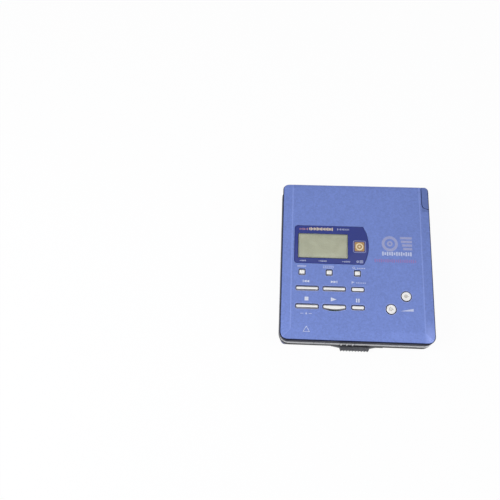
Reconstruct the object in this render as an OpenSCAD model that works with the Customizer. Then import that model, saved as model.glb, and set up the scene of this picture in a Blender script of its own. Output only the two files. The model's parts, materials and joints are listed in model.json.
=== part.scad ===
// Portable minidisc recorder: a clamshell case, a tilting disc holder, a disc drive and
// a keypad lid. Millimetres. X runs to the right, Y to the hinge, Z up from the table.
// The case is worked out around the cartridge, so a larger cartridge makes a larger case.

/* [Cartridge] */
// Width of the disc cartridge
cart_w = 72; // [70:0.5:76]
// Depth of the disc cartridge
cart_d = 68; // [66:0.5:72]
// Thickness of the disc cartridge
cart_t = 5; // [4.8:0.1:6]

/* [Case] */
// Room from the cartridge's side to the side of the lid
side_room = 3; // [2.9:0.1:5]
// Room from the cartridge's front edge to the front of the lid
front_room = 2.3; // [2.2:0.1:4]
// Wall thickness of the case shells
wall = 1.2; // [1:0.05:1.3]
// Extra thickness of the bottom cover's wall, where it draws in
low_extra = 0.9; // [0.8:0.05:1]
// Thickness of the bottom cover's floor
floor_t = 1; // [0.9:0.1:1.5]
// Thickness of the lid's metal top
lid_t = 1; // [0.8:0.1:1.2]
// Height of the bottom cover
bottom_h = 7; // [6.6:0.1:7.6]
// Gap at the seams between the shells
seam = 0.2; // [0.1:0.05:0.3]
// How far the bright band stands out from the lid's side
band_proud = 0.45; // [0:0.05:0.8]
// Depth of the lid's metal rim, below its top face
rim_h = 2.4; // [2.1:0.1:3]
// Corner radius at the lid's front
front_r = 4.2; // [3.4:0.1:4.6]
// Corner radius at the lid's rear
rear_r = 2.6; // [2:0.1:4]
// Corner radius of the base
base_r = 5; // [4:0.1:5.2]
// Radius of the bottom edge
bottom_r = 2.2; // [1.5:0.1:2.3]
// Width of the sloped strips along the lid's sides
strip_w = 5.3; // [4:0.1:7]
// Width of the sloped strip along the lid's front
front_strip = 5.4; // [4:0.1:7]
// Drop of the sloped strips at the case's edge
strip_drop = 0.85; // [0.4:0.05:1]
// Radius of the lid's top edge
edge_r = 0.8; // [0.5:0.1:1]

/* [Hinge] */
// Radius of the hinge barrel
barrel_r = 1.3; // [1.1:0.05:1.4]
// Diameter of the hinge pin
pin_d = 1; // [0.8:0.1:1.2]
// Length of each lid knuckle
knuckle_l = 6; // [4:0.5:9]
// Place of the knuckles, from the middle
knuckle_x = 26; // [20:0.5:28]
// Radial play of a turning fit
run = 0.05; // [0.03:0.01:0.08]
// Gap beside a turning or sliding part
play = 0.2; // [0.1:0.05:0.25]

/* [Battery] */
// Thickness of the battery
batt_t = 8.4; // [8:0.1:9]
// Height of the battery
batt_h = 13.5; // [12:0.1:13.6]
// Length of the battery
batt_l = 64; // [58:0.5:65]
// Width of the battery door at the corner
door_w = 3.9; // [3.5:0.1:4]
// Reach of the battery door, from the hinge axis forwards
door_reach = 12.6; // [12.3:0.1:12.9]
// Radius of the door's inner corner
door_corner = 2; // [1:0.1:2.5]

/* [Drive] */
// Thickness of the main board
board_t = 0.8; // [0.6:0.1:1]
// Thickness of the chassis plate
plate_t = 0.8; // [0.6:0.1:1]
// Height of the spindle motor
motor_h = 1.8; // [1.6:0.1:2.2]
// Radius of the spindle motor
motor_r = 9; // [7:0.5:10]
// Radius of the turntable
table_r = 7; // [6:0.5:8]
// Height of the pickup sled
sled_h = 3; // [2.8:0.1:3.1]
// Length of the pickup sled along its rods
sled_l = 9; // [8:0.5:9.5]
// Radius on the disc where reading starts
read_r = 14.5; // [14.3:0.1:15.5]
// Radius on the disc where reading ends
read_end_r = 30.5; // [28:0.1:31]
// Diameter of the guide rods
rod_d = 1.6; // [1.2:0.1:1.8]
// Distance between the guide rods
rod_gap = 22; // [20:0.5:24]
// Diameter of the lead screw
screw_d = 2; // [1.6:0.1:2.2]
// Diameter of the sled motor
sled_motor_d = 5.8; // [5:0.1:6]
// Thickness of the disc holder's sheet steel
sheet_t = 0.4; // [0.3:0.05:0.45]

/* [Keys] */
// Width of the long keys
key_w = 11.6; // [10:0.1:12]
// Width of the short keys
short_w = 6.5; // [5:0.1:7.5]
// Width of the slot that a key stands in
slot_d = 2.8; // [2.6:0.1:3.6]
// Width of a key's ridge
ridge_d = 1.5; // [1.3:0.1:2]
// Side of the square keys
square_w = 3; // [2.5:0.1:3.5]
// Diameter of the volume keys
vol_d = 4.8; // [4:0.1:5.6]
// How far the keys stand above the lid
key_up = 0.3; // [0.1:0.05:0.5]
// Travel of the keys
key_travel = 0.4; // [0.3:0.05:0.45]
// Distance between the two rows of long keys
row_gap = 9.5; // [7:0.1:10]

/* [Display] */
// Width of the display window
window_w = 38.4; // [34:0.2:39]
// Depth of the display window
window_d = 20.8; // [18:0.2:21]
// Width of the display glass
glass_w = 26; // [20:0.2:27]
// Depth of the display glass
glass_d = 13.5; // [10:0.2:14]

/* [Sockets] */
// Bore of the plug sockets
jack_bore = 3.6; // [3.4:0.05:3.8]
// Depth of the plug sockets
jack_depth = 14; // [10:0.5:14.5]
// Distance between the plug sockets
jack_gap = 14; // [10:0.5:15]

/* [Slides] */
// Length of the open slider's grip
grip_l = 15.2; // [12:0.1:16]
// How far the grip stands out from the case
grip_out = 2.2; // [1.5:0.1:3]
// Travel of the open slider
slider_travel = 3; // [2:0.1:3.5]
// Travel of the side switches
switch_travel = 2.5; // [2:0.1:3]

/* [Hidden] */
$fn = 48;
eps = 0.01;

// Plan of the case: the chain of depths from the front to the hinge
low_wall = wall + low_extra;
dc_depth = 6.2;
batt_ends = 1.7;
body_w = max(cart_w + 2 * side_room, batt_l + batt_ends + door_w + dc_depth + low_wall);
half_w = body_w / 2;
holder_gap = 0.1;
pivot_room = 1.7;
batt_gap = 0.2;
shelf_t = 0.6;
rear_room = holder_gap + sheet_t + pivot_room + shelf_t + batt_gap + batt_t + 0.5
    + barrel_r + play + barrel_r;
body_d = front_room + cart_d + rear_room;
half_d = body_d / 2;
cart_y0 = -half_d + front_room;
cart_y1 = cart_y0 + cart_d;
disc_y = (cart_y0 + cart_y1) / 2;
cage_y1 = cart_y1 + holder_gap + sheet_t;
pivot_y = cage_y1 + pivot_room / 2;
shelf_y = cage_y1 + pivot_room;
batt_y = shelf_y + shelf_t + batt_gap;
hinge_y = half_d - barrel_r;

// Heights, from the table up
board_z = floor_t + 0.6;
chassis_z = board_z + board_t + motor_h + play;
sled_z = chassis_z + plate_t + play;
lip_z = max(sled_z + sled_h + 0.3, bottom_h + 1.5);
cart_z = lip_z + sheet_t + 0.1;
roof_z = cart_z + cart_t + 0.1;
arm_z = roof_z + sheet_t + play;
arm_t = 0.8;
lid_room = 2.3;
under_z = arm_z + arm_t + lid_room;
body_h = under_z + lid_t;
hinge_z = cart_z + 2.8;
rim_z = body_h - rim_h;
band_top = hinge_z - seam / 2;
frame_z = hinge_z + seam / 2;
pivot_z = roof_z - 0.9;
arm_pivot_z = roof_z - 0.1;
ear_r = pivot_room / 2 - 0.1;
ear_pin_r = 0.39;
ear_t = 0.7;
lug_t = 1;

// Base
inner_x = half_w - low_wall;
front_y = -half_d + low_wall;
ear_x = inner_x - 4;
lug_x = ear_x + ear_t / 2 + 0.15;
post_r = 1.2;
door_x = half_w - door_w;
door_pin_x = half_w - 1.6;
door_pin_z = 1.8;
door_pin_d = 0.8;
lug_r = 0.9;
door_z = door_pin_z + lug_r + 0.1;
lug_w = 2;
door_lugs = [hinge_y - door_reach + 1.6, hinge_y - 4.2];

// Drive
spindle_r = 0.7;
sleeve_r = 2;
table_z = sled_z + 2;
tip_z = cart_z + 0.8;
rod_z = sled_z + sled_h / 2;
rod_y0 = disc_y - rod_gap / 2;
rod_y1 = disc_y + rod_gap / 2;
sled_travel = read_end_r - read_r;
sled_x = read_r - sled_l * 0.43;
sled_y0 = rod_y0 - 2;
sled_y1 = rod_y1 + 2.2;
sled_end = sled_x + sled_l + sled_travel;
rod_x0 = sled_x - 1.5;
rod_x1 = sled_end + 1.1;
stand_t = 1.1;
screw_y = sled_y1 + 3.8;
screw_z = chassis_z + plate_t + 0.8;
strap_w = 5;
arm_x = read_r;
motor_x1 = sled_x - 4;
motor_l = 11;
chassis_x0 = -21;
chassis_x1 = inner_x - 0.4;
damper_r = 2.1;
damper_sites = [for (x = [chassis_x0 + 3, chassis_x1 - 2.5], y = [cart_y0 + 9, cart_y1 - 3.8])
    [x, y]];
screw_sites = [[-inner_x + 3.6, front_y + 3.6], [inner_x - 3.6, front_y + 3.2],
    [-inner_x + 3.6, cart_y1 - 1.2], [inner_x - 5.6, cart_y1 - 8.5]];
screw_head_r = 1.6;

// Lid inside
flange_t = 0.4;
flange_out = 0.5;
flange_z = under_z - key_travel - flange_t;
dome_h = 0.2;
keypad_t = 0.6;
keypad_z = flange_z - key_travel - 0.1 - dome_h - keypad_t;
board_x = half_w - 5.2;
liner_t = 0.4;
liner_z = roof_z + sheet_t + 0.5;
ledge_z = liner_z + liner_t;
lid_in = wall + play;
arm_bay_x0 = read_r - 5.5;
arm_bay_y0 = disc_y - 4.3;
lid_screw_sites = [for (s = [-1, 1], y = [cart_y0 + 5, cart_y1 - 9]) [s * (half_w - lid_in - 2), y]];

// Keys, placed from the middle of the lid as seen from above
slot_r = 0.9;
play_bow = 0.8;
key_x = [-25.4, -11.6, 0.4];
row_y = [-15.7, -15.7 - row_gap];
square_x = [-28.2, -14.2, 0.3];
square_y = -7.1;
vol_places = [[24.8, -18.6], [17, -25.5]];
glass_x = -17.45;
glass_y = 7.5;
window_rim = 1.6;
window_x = glass_x - glass_w / 2 - window_rim + window_w / 2;
window_y = glass_y + 0.8;

// Sockets
jack_z = board_z + board_t + 0.1 + jack_bore / 2 + 1.2;
jack_w = 6.4;
jack_y = [disc_y + 26, disc_y + 26 - jack_gap, disc_y + 26 - 2 * jack_gap];
dc_y = batt_y + batt_t / 2;
collar_r = 2.7;

// Slides
track_z = 2.3;
track_h = 4;
grip_h = 3.4;
grip_x = 0;
wedge_l = 3.8;
wedge_out = 0.7;
pip_x = [-7.5, -4.6, -1.7];
pip_d = 0.8;
stem_l = 5;
stem_h = 1.2;
bar_t = 0.7;
bar_y = front_y + 0.1;
nose_x = [-9, 5];
catch_w = 2;
switch_l = 5;
switch_h = 2;
switch_out = 0.75;
switch_z = (bottom_h + band_top) / 2 + 0.1;
hold_y = -17;
record_y = 7;

// Points of an arc from angle a to angle b
function arc(x, y, r, a, b, n = 8) =
    [for (i = [0:n]) [x + r * cos(a + (b - a) * i / n), y + r * sin(a + (b - a) * i / n)]];

// A rounded plan outline, with true arcs, drawn in by a margin
module outline(rf, rr, in = 0) {
    w = body_w - 2 * in;
    d = body_d - 2 * in;
    f = max(rf - in, 0.3);
    r = max(rr - in, 0.3);
    for (s = [-1, 1]) {
        translate([s * (w / 2 - f), -d / 2 + f]) circle(f);
        translate([s * (w / 2 - r), d / 2 - r]) circle(r);
    }
    translate([-w / 2, -d / 2 + f]) square([w, d - f - r]);
    translate([-w / 2 + f, -d / 2]) square([w - 2 * f, d / 2]);
    translate([-w / 2 + r, 0]) square([w - 2 * r, d / 2]);
}

module slab(z0, z1, rf, rr, in = 0) {
    translate([0, 0, z0]) linear_extrude(z1 - z0) outline(rf, rr, in);
}

// One side of the case seen from the end: rounded bottom edge, drawn-in foot, rounded top
// edge and a sloped strip that rises to the plateau
function flank(half, strip, drop, in) = let (
    h = half - in, foot = 0.5, top = body_h - drop - in, b = bottom_r - min(in, bottom_r - 0.3),
    e = max(edge_r - in, 0.2))
    concat(
        arc(h - foot - b, in + b, b, -90, 0),
        [[h, bottom_h - 1]],
        arc(h - e, top - e, e, 0, 80),
        [[half - strip, body_h - in]]);

function mirrored(p) = [for (i = [len(p) - 1:-1:0]) [-p[i][0], p[i][1]]];

// The whole closed case as a solid, drawn in by a margin
module case_solid(rf, rr, in = 0) {
    side = flank(half_w, strip_w, strip_drop, in);
    front = flank(half_d, front_strip, strip_drop, in);
    rear = flank(half_d, 1.5, 0.2, in);
    intersection() {
        slab(in, body_h - in, rf, rr, in);
        translate([0, half_d, 0]) rotate([90, 0, 0])
            linear_extrude(body_d) polygon(concat(side, mirrored(side)));
        translate([-half_w, 0, 0]) rotate([90, 0, 90])
            linear_extrude(body_w) polygon(concat(rear, mirrored(front)));
    }
}

// A cylinder along X or along Y
module rod_x(x0, x1, y, z, r) {
    translate([x0, y, z]) rotate([0, 90, 0]) cylinder(h = x1 - x0, r = r);
}
module rod_y(y0, y1, x, z, r) {
    translate([x, y0, z]) rotate([-90, 0, 0]) cylinder(h = y1 - y0, r = r);
}
module block(x0, x1, y0, y1, z0, z1) {
    translate([x0, y0, z0]) cube([x1 - x0, y1 - y0, z1 - z0]);
}
module post(x, y, z0, z1, r) {
    translate([x, y, z0]) cylinder(h = z1 - z0, r = r);
}

// The space of the battery door, grown by a gap. Its front face turns about the lid's
// hinge axis, so that the lid lifts past it.
module door_zone(grow, x0, z0) {
    reach = door_reach + grow;
    corner = door_corner;
    far = half_w + 2;
    intersection() {
        translate([0, hinge_y, hinge_z]) rotate([0, 90, 0]) rotate_extrude()
            polygon(concat([[0, x0]], arc(reach - corner, x0 + corner, corner, -90, 0),
                [[reach, far], [0, far]]));
        block(0, far + 1, 0, hinge_y + reach + 1, z0, hinge_z + reach + 1);
    }
    block(x0, far, hinge_y - reach, half_d + 1, z0, hinge_z);
    block(x0, far, hinge_y, half_d + 1, z0, body_h + 1);
}

// Where the lid's knuckles turn in the base barrel
module knuckle_spaces() {
    for (s = [-1, 1])
        rod_x(s * knuckle_x - knuckle_l / 2 - play, s * knuckle_x + knuckle_l / 2 + play,
            hinge_y, hinge_z, barrel_r + play);
}

module cross_cut(x, y, z, size, depth) {
    for (a = [0, 90]) translate([x, y, z]) rotate(a)
        translate([-size / 2, -size / 8, 0]) cube([size, size / 4, depth]);
}

// Base

module bottom_cover() {
    tongue = wall + 0.5;
    color("#31406f") difference() {
        union() {
            difference() {
                intersection() {
                    case_solid(base_r, base_r);
                    block(-half_w, half_w, -half_d, half_d, 0, bottom_h);
                }
                slab(floor_t, body_h, base_r, base_r, low_wall);
                difference() {
                    slab(bottom_h - 0.6, body_h, base_r, base_r, wall - 0.05);
                    slab(0, body_h, base_r, base_r, tongue + 0.05);
                }
                door_zone(seam, door_x - seam, floor_t - 0.05);
            }
            for (p = screw_sites) post(p[0], p[1], floor_t - eps, chassis_z - 0.2, 2);
            for (p = damper_sites) {
                post(p[0], p[1], floor_t - eps, chassis_z - 0.35, 2.2);
                post(p[0], p[1], floor_t - eps, chassis_z + plate_t + 0.5, post_r);
            }
            for (y = door_lugs) hull() {
                rod_y(y, y + lug_w, door_pin_x, door_pin_z, lug_r);
                block(door_pin_x - lug_r, door_pin_x + 0.2, y, y + lug_w, 0.5, 0.9);
            }
            for (x = [-inner_x + 1.2, -12, 14]) for (y = [cart_y0 + 12, cart_y1 - 16])
                post(x, y, floor_t - eps, board_z, 1);
        }
        for (p = screw_sites) {
            post(p[0], p[1], -1, 0.9, screw_head_r + 0.15);
            post(p[0], p[1], 0, chassis_z - 1, 0.85);
        }
        for (y = door_lugs)
            rod_y(y - 1, y + lug_w + 1, door_pin_x, door_pin_z, door_pin_d / 2 + 0.02);
        for (y = door_lugs) {
            k = y < hinge_y - 8 ? y + lug_w : y - lug_w;
            block(door_pin_x - lug_r - 0.3, half_w, k - 0.15, k + lug_w + 0.15, -1, 3);
        }
        for (y = jack_y) rod_x(-half_w - 1, -inner_x + 1, y, jack_z, collar_r + 0.1);
        rod_x(-half_w - 1, -inner_x + 1, dc_y, jack_z, collar_r + 0.1);
        block(grip_x - grip_l / 2 - wedge_l - 0.6, grip_x + grip_l / 2 + wedge_l + slider_travel
            + 0.6, -half_d - 1, -half_d + 0.9, track_z - 0.1, track_z + track_h + 0.1);
        block(grip_x - stem_l / 2 - play, grip_x + stem_l / 2 + slider_travel + play,
            -half_d, front_y + 1, track_z + track_h / 2 - stem_h / 2 - play,
            track_z + track_h / 2 + stem_h / 2 + play);
    }
}

module side_frame() {
    tongue = wall + 0.5;
    color("#c9ccd2") difference() {
        union() {
            difference() {
                slab(bottom_h + 0.02, band_top, base_r, base_r, -band_proud);
                slab(0, body_h, base_r, base_r, wall);
            }
            difference() {
                slab(bottom_h - 0.5, bottom_h + 0.6, base_r, base_r, wall);
                slab(0, body_h, base_r, base_r, tongue);
            }
            intersection() {
                rod_x(-half_w, half_w, hinge_y, hinge_z, barrel_r);
                slab(0, body_h, rear_r, rear_r, 0.05);
            }
            for (x = pip_x) post(x, -half_d - pip_d / 2 - 0.1, band_top - 2.6, band_top + 1.5,
                pip_d / 2);
        }
        knuckle_spaces();
        rod_x(-half_w + 1.6, half_w, hinge_y, hinge_z, pin_d / 2 + run);
        door_zone(seam, door_x - seam, 0);
        for (y = jack_y) rod_x(-half_w - 1, -inner_x + 1, y, jack_z, collar_r + 0.1);
        rod_x(-half_w - 1, -inner_x + 1, dc_y, jack_z, collar_r + 0.1);
        for (y = [hold_y, record_y]) {
            block(half_w - 0.5, half_w + 2, y - play, y + switch_l + switch_travel + play,
                switch_z - switch_h / 2 - 0.1, switch_z + switch_h / 2 + 0.1);
            block(half_w - wall - 1, half_w, y + 1 - play, y + switch_l - 1 + switch_travel + play,
                switch_z - 0.6, switch_z + 0.6);
        }
    }
}

module slider_track() {
    z_mid = track_z + track_h / 2;
    color("#34363d") difference() {
        block(grip_x - grip_l / 2 - wedge_l - 0.5, grip_x + grip_l / 2 + wedge_l + slider_travel
            + 0.5, -half_d + 0.15, -half_d + 0.85, track_z, track_z + track_h);
        block(grip_x - stem_l / 2 - play, grip_x + stem_l / 2 + slider_travel + play,
            -half_d, front_y, z_mid - stem_h / 2 - play, z_mid + stem_h / 2 + play);
    }
}

module main_board() {
    color("#2d6b45") difference() {
        translate([0, 0, board_z]) linear_extrude(board_t) union() {
            translate([-inner_x + 0.4, front_y + 2])
                square([2 * inner_x - 0.8, shelf_y - front_y - 2.5]);
            translate([-inner_x + 0.4, 0]) square([5.4, dc_y + 3]);
        }
        for (p = damper_sites) post(p[0], p[1], 0, body_h, 2.3);
        for (p = screw_sites) post(p[0], p[1], 0, body_h, 2.2);
        block(door_x - 0.6, half_w, hinge_y - door_reach - 0.6, half_d, 0, body_h);
    }
}

// Chips and connectors on the main board: place, size and height
chips = [[-10, -30, 10, 10, 1.2], [2, -30, 8, 14, 1.1], [18, -32, 9, 9, 1.2],
    [-15, 0, 8, 8, 1], [22, 19, 8, 5, 1.1], [-14, -14, 5, 7, 1], [2, 19, 6, 4, 1.2],
    [10, -34, 3, 5, 1.3], [30, -26, 4, 8, 1.2]];
module board_chips() {
    color("#1b1c1f") for (c = chips)
        translate([c[0] - c[2] / 2, c[1] - c[3] / 2 + 3, board_z + board_t])
            cube([c[2], c[3], c[4]]);
}

module chassis_plate() {
    z1 = chassis_z + plate_t;
    color("#b7b9bd") difference() {
        union() {
            block(chassis_x0, chassis_x1, cart_y0 + 1.8, cart_y1 - 0.4, chassis_z, z1);
            for (y = [rod_y0, rod_y1]) for (x = [rod_x0, rod_x1 - stand_t])
                block(x, x + stand_t, y - 1.6, y + 1.6, chassis_z, rod_z + rod_d / 2 + 0.5);
        }
        for (p = damper_sites) post(p[0], p[1], 0, body_h, 1.55);
        post(0, disc_y, 0, body_h, sleeve_r + 0.1);
        for (y = [rod_y0, rod_y1]) rod_x(rod_x0 - 1, rod_x1 + 1, y, rod_z, rod_d / 2);
        block(motor_x1 - motor_l - 1.4, motor_x1 + 0.6, screw_y - sled_motor_d / 2 - 0.3,
            screw_y + sled_motor_d / 2 + 0.3, 0, body_h);
        block(motor_x1, half_w, screw_y - screw_d / 2 - 0.4, screw_y + screw_d / 2 + 0.4,
            0, body_h);
        block(sled_x - 0.3, sled_x + strap_w + sled_travel + 0.3, screw_y - 2, screw_y + 2,
            0, body_h);
        block(sled_x + 0.5, rod_x1 - 2.4, rod_y0 + 3, rod_y1 - 3, 0, body_h);
        for (x = [-15, -6]) post(x, disc_y - 20, 0, body_h, 1.2);
        block(-17.5, -10.5, disc_y - 8, disc_y + 8, 0, body_h);
    }
}

module rubber_dampers() {
    color("#26262a") for (p = damper_sites) difference() {
        union() {
            post(p[0], p[1], chassis_z - 0.35, chassis_z, damper_r);
            post(p[0], p[1], chassis_z - 0.35, chassis_z + plate_t + 0.3, 1.5);
            post(p[0], p[1], chassis_z + plate_t, chassis_z + plate_t + 0.4, damper_r);
        }
        post(p[0], p[1], 0, body_h, post_r + 0.05);
    }
}

module guide_rods() {
    color("#d7d9dc") for (y = [rod_y0, rod_y1]) rod_x(rod_x0, rod_x1, y, rod_z, rod_d / 2);
}

module screw_bearings() {
    x = rod_x1 - 1.4;
    color("#8d8f94") difference() {
        block(x, x + 1.2, screw_y - 2.4, screw_y + 2.4, chassis_z + plate_t,
            screw_z + screw_d / 2 + 0.4);
        rod_x(x - 1, x + 2, screw_y, screw_z, screw_d / 4 + run);
    }
}

module sled_motor() {
    r = sled_motor_d / 2;
    color("#c4c6ca") difference() {
        union() {
            rod_x(motor_x1 - motor_l, motor_x1, screw_y, screw_z, r);
            rod_x(motor_x1 - motor_l - 0.4, motor_x1 - motor_l + eps, screw_y, screw_z, 1);
            block(motor_x1 - 8, motor_x1 - 3, screw_y - r - 1.2, screw_y + r + 1.2,
                chassis_z + plate_t, chassis_z + plate_t + 0.5);
        }
        rod_x(motor_x1 - 3, motor_x1 + 1, screw_y, screw_z, screw_d / 4 + run);
    }
}

module motor_flex() {
    x = motor_x1 - motor_l - 0.5;
    color("#c98a3c") union() {
        block(x - 0.15, x, screw_y - 1.5, screw_y + 1.5, board_z + board_t, screw_z + 1);
        block(x - 7, x, screw_y - 1.5, screw_y + 1.5, board_z + board_t,
            board_z + board_t + 0.15);
        block(x - 8, x - 6, screw_y - 2, screw_y + 2, board_z + board_t, board_z + board_t + 0.9);
    }
}

module spindle_motor() {
    z = board_z + board_t + play;
    color("#9a9ca1") difference() {
        union() {
            post(0, disc_y, z, z + motor_h - play, motor_r);
            post(0, disc_y, z, sled_z + 0.6, sleeve_r);
            block(motor_r - 3, motor_r + 2.5, disc_y - 3, disc_y + 3, z, z + 0.3);
            post(0, disc_y, board_z + board_t, z + eps, 3);
        }
        post(0, disc_y, z + 0.3, body_h, spindle_r + run);
    }
}

module battery_compartment() {
    x0 = door_x - 0.1 - batt_l - 1.4;
    x1 = door_x - seam - 0.1;
    y1 = batt_y + batt_t + batt_gap;
    top = floor_t + 0.4 + batt_h + 0.3;
    low = hinge_z - barrel_r - 0.4;
    color("#3a3c44") difference() {
        union() {
            block(x0, x1, shelf_y, y1 + 0.4, floor_t + 0.05, floor_t + 0.35);
            block(x0, x1, shelf_y, shelf_y + shelf_t, floor_t + 0.05, top + 0.6);
            block(x0, x1, shelf_y, y1 - 0.05, top, top + 0.6);
            block(x0, x1, y1, y1 + 0.4, floor_t + 0.05, low);
            block(x0, x0 + 0.6, shelf_y, y1 - 0.05, floor_t + 0.05, top + 0.6);
            for (s = [-1, 1]) {
                x = s > 0 ? lug_x : -lug_x - lug_t;
                rod_x(x, x + lug_t, pivot_y, pivot_z, ear_r);
                block(x, x + lug_t, pivot_y, shelf_y + 0.1, pivot_z - ear_r, pivot_z + ear_r);
            }
            block(-lug_x - lug_t, x0 + 0.1, shelf_y, shelf_y + shelf_t, cart_z, pivot_z + ear_r);
        }
        rod_x(-half_w, half_w, pivot_y, pivot_z, ear_pin_r + 0.01);
        for (x = [x0 + 12:12:x1 - 8]) block(x, x + 6, shelf_y + 2.5, y1 - 2, top - 1, top + 1);
    }
}

module battery_cell() {
    x1 = door_x - 0.3;
    color("#5d6b8f") union() {
        block(x1 - batt_l, x1 - 1.2, batt_y, batt_y + batt_t, floor_t + 0.4, floor_t + 0.4 + batt_h);
        block(x1 - 1.2 - eps, x1, batt_y + 0.3, batt_y + batt_t - 0.3, floor_t + 0.7,
            floor_t + 0.1 + batt_h);
    }
}

module battery_contacts() {
    x = door_x - 0.3 - batt_l;
    color("#d9c27a") for (z = [4, 9.5]) union() {
        block(x - 0.55, x - 0.3, batt_y + 2, batt_y + batt_t - 2, z, z + 3);
        block(x - 0.4, x - 0.02, batt_y + 3.2, batt_y + batt_t - 3.2, z + 0.8, z + 2.2);
    }
}

module holder_pins() {
    color("#c6c8cc") for (s = [-1, 1]) {
        x = s > 0 ? ear_x - ear_t : -lug_x - lug_t;
        rod_x(x, x + lug_x + lug_t - ear_x + ear_t, pivot_y, pivot_z, ear_pin_r);
    }
}

module hinge_pin() {
    color("#b5b7bb") rod_x(-half_w + 1.8, door_x - seam - 0.1, hinge_y, hinge_z, pin_d / 2);
}

module battery_door_pin() {
    color("#b5b7bb")
        rod_y(door_lugs[0], door_lugs[1] + lug_w, door_pin_x, door_pin_z, door_pin_d / 2);
}

// A socket on the left side: a body on the main board and a collar through the wall
module socket(y, bore, depth, w) {
    difference() {
        union() {
            block(-inner_x + 0.1, -inner_x + depth + 0.9, y - w / 2, y + w / 2,
                board_z + board_t + 0.05, jack_z + bore / 2 + 1);
            rod_x(-half_w - band_proud, -inner_x + 0.2, y, jack_z, collar_r);
        }
        rod_x(-half_w - 2, -inner_x + depth - low_wall, y, jack_z, bore / 2);
    }
}
module headphone_jack() { color("#202126") socket(jack_y[0], jack_bore, jack_depth, jack_w); }
module line_in_jack() { color("#202126") socket(jack_y[1], jack_bore, jack_depth, jack_w); }
module mic_jack() { color("#202126") socket(jack_y[2], jack_bore, jack_depth, jack_w); }
module dc_in_jack() {
    color("#202126") union() {
        socket(dc_y, 3.4, dc_depth - 0.9, jack_w);
        rod_x(-half_w + 0.4, -inner_x + dc_depth - 2, dc_y, jack_z, 0.55);
    }
}

module bottom_screws() {
    color("#8b8d92") for (p = screw_sites) difference() {
        union() {
            post(p[0], p[1], 0.15, 0.9, screw_head_r);
            post(p[0], p[1], 0.8, chassis_z - 1.1, 0.8);
        }
        cross_cut(p[0], p[1], 0.1, 1.8, 0.5);
    }
}

// Lid

// A rounded rectangle, whose front edge may bow out
module rounded(w, d, r, bow = 0) {
    for (s = [-1, 1], t = [-1, 1]) translate([s * (w / 2 - r), t * (d / 2 - r)]) circle(r);
    square([w, d - 2 * r], center = true);
    square([w - 2 * r, d], center = true);
    if (bow > 0) {
        c = w / 2 - r - 0.3;
        big_r = (c * c + bow * bow) / (2 * bow);
        intersection() {
            translate([0, big_r - bow - d / 2]) circle(big_r);
            translate([-w / 2, -d / 2 - bow - 1]) square([w, bow + 1.1]);
        }
    }
}

module key_slot(p, w, d, r, bow = 0) {
    translate([p[0], p[1], under_z - 1]) linear_extrude(lid_t + 2) rounded(w, d, r, bow);
}

// The display window's outline: two small corners at the left, a bulging right side
module window_shape(in) {
    w = window_w / 2 - in;
    d = window_d / 2 - in;
    bulge = 2.8;
    reach = w - bulge;
    rad = (d * d + bulge * bulge) / (2 * bulge);
    a = asin(d / rad);
    r = 1.6;
    translate([window_x, window_y]) polygon(concat(
        [[reach, -d]], arc(w - rad, 0, rad, -a, a, 24), [[reach, d]],
        arc(-w + r, d - r, r, 90, 180), arc(-w + r, -d + r, r, 180, 270)));
}

module glass_shape(in) {
    translate([glass_x, glass_y]) square([glass_w - 2 * in, glass_d - 2 * in], center = true);
}

module lid_cut() {
    door_zone(seam, door_x - seam, 0);
}

module lid_cover() {
    color("#6d7fc0") difference() {
        union() {
            difference() {
                intersection() {
                    case_solid(front_r, rear_r);
                    block(-half_w, half_w, -half_d, half_d, rim_z, body_h);
                }
                intersection() {
                    case_solid(front_r, rear_r, lid_t);
                    block(-half_w, half_w, -half_d, half_d, 0, body_h);
                }
            }
            for (p = [[-33, -4], [7, -32], [-33, 19.5], [33, -26]])
                post(p[0], p[1], keypad_z + keypad_t, under_z + eps, 1.1);
        }
        lid_cut();
        for (i = [0:2], j = [0:1])
            key_slot([key_x[i], row_y[j]], (i == 2 ? short_w : key_w) + 0.4, slot_d, slot_r,
                i == 1 && j == 1 ? play_bow : 0);
        for (x = square_x) key_slot([x, square_y], square_w + 0.8, square_w + 0.8, 0.7);
        for (p = vol_places) post(p[0], p[1], under_z - 1, body_h + 1, vol_d / 2 + 0.4);
        translate([0, 0, under_z - 1]) linear_extrude(lid_t + 2) window_shape(0);
    }
}

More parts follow.
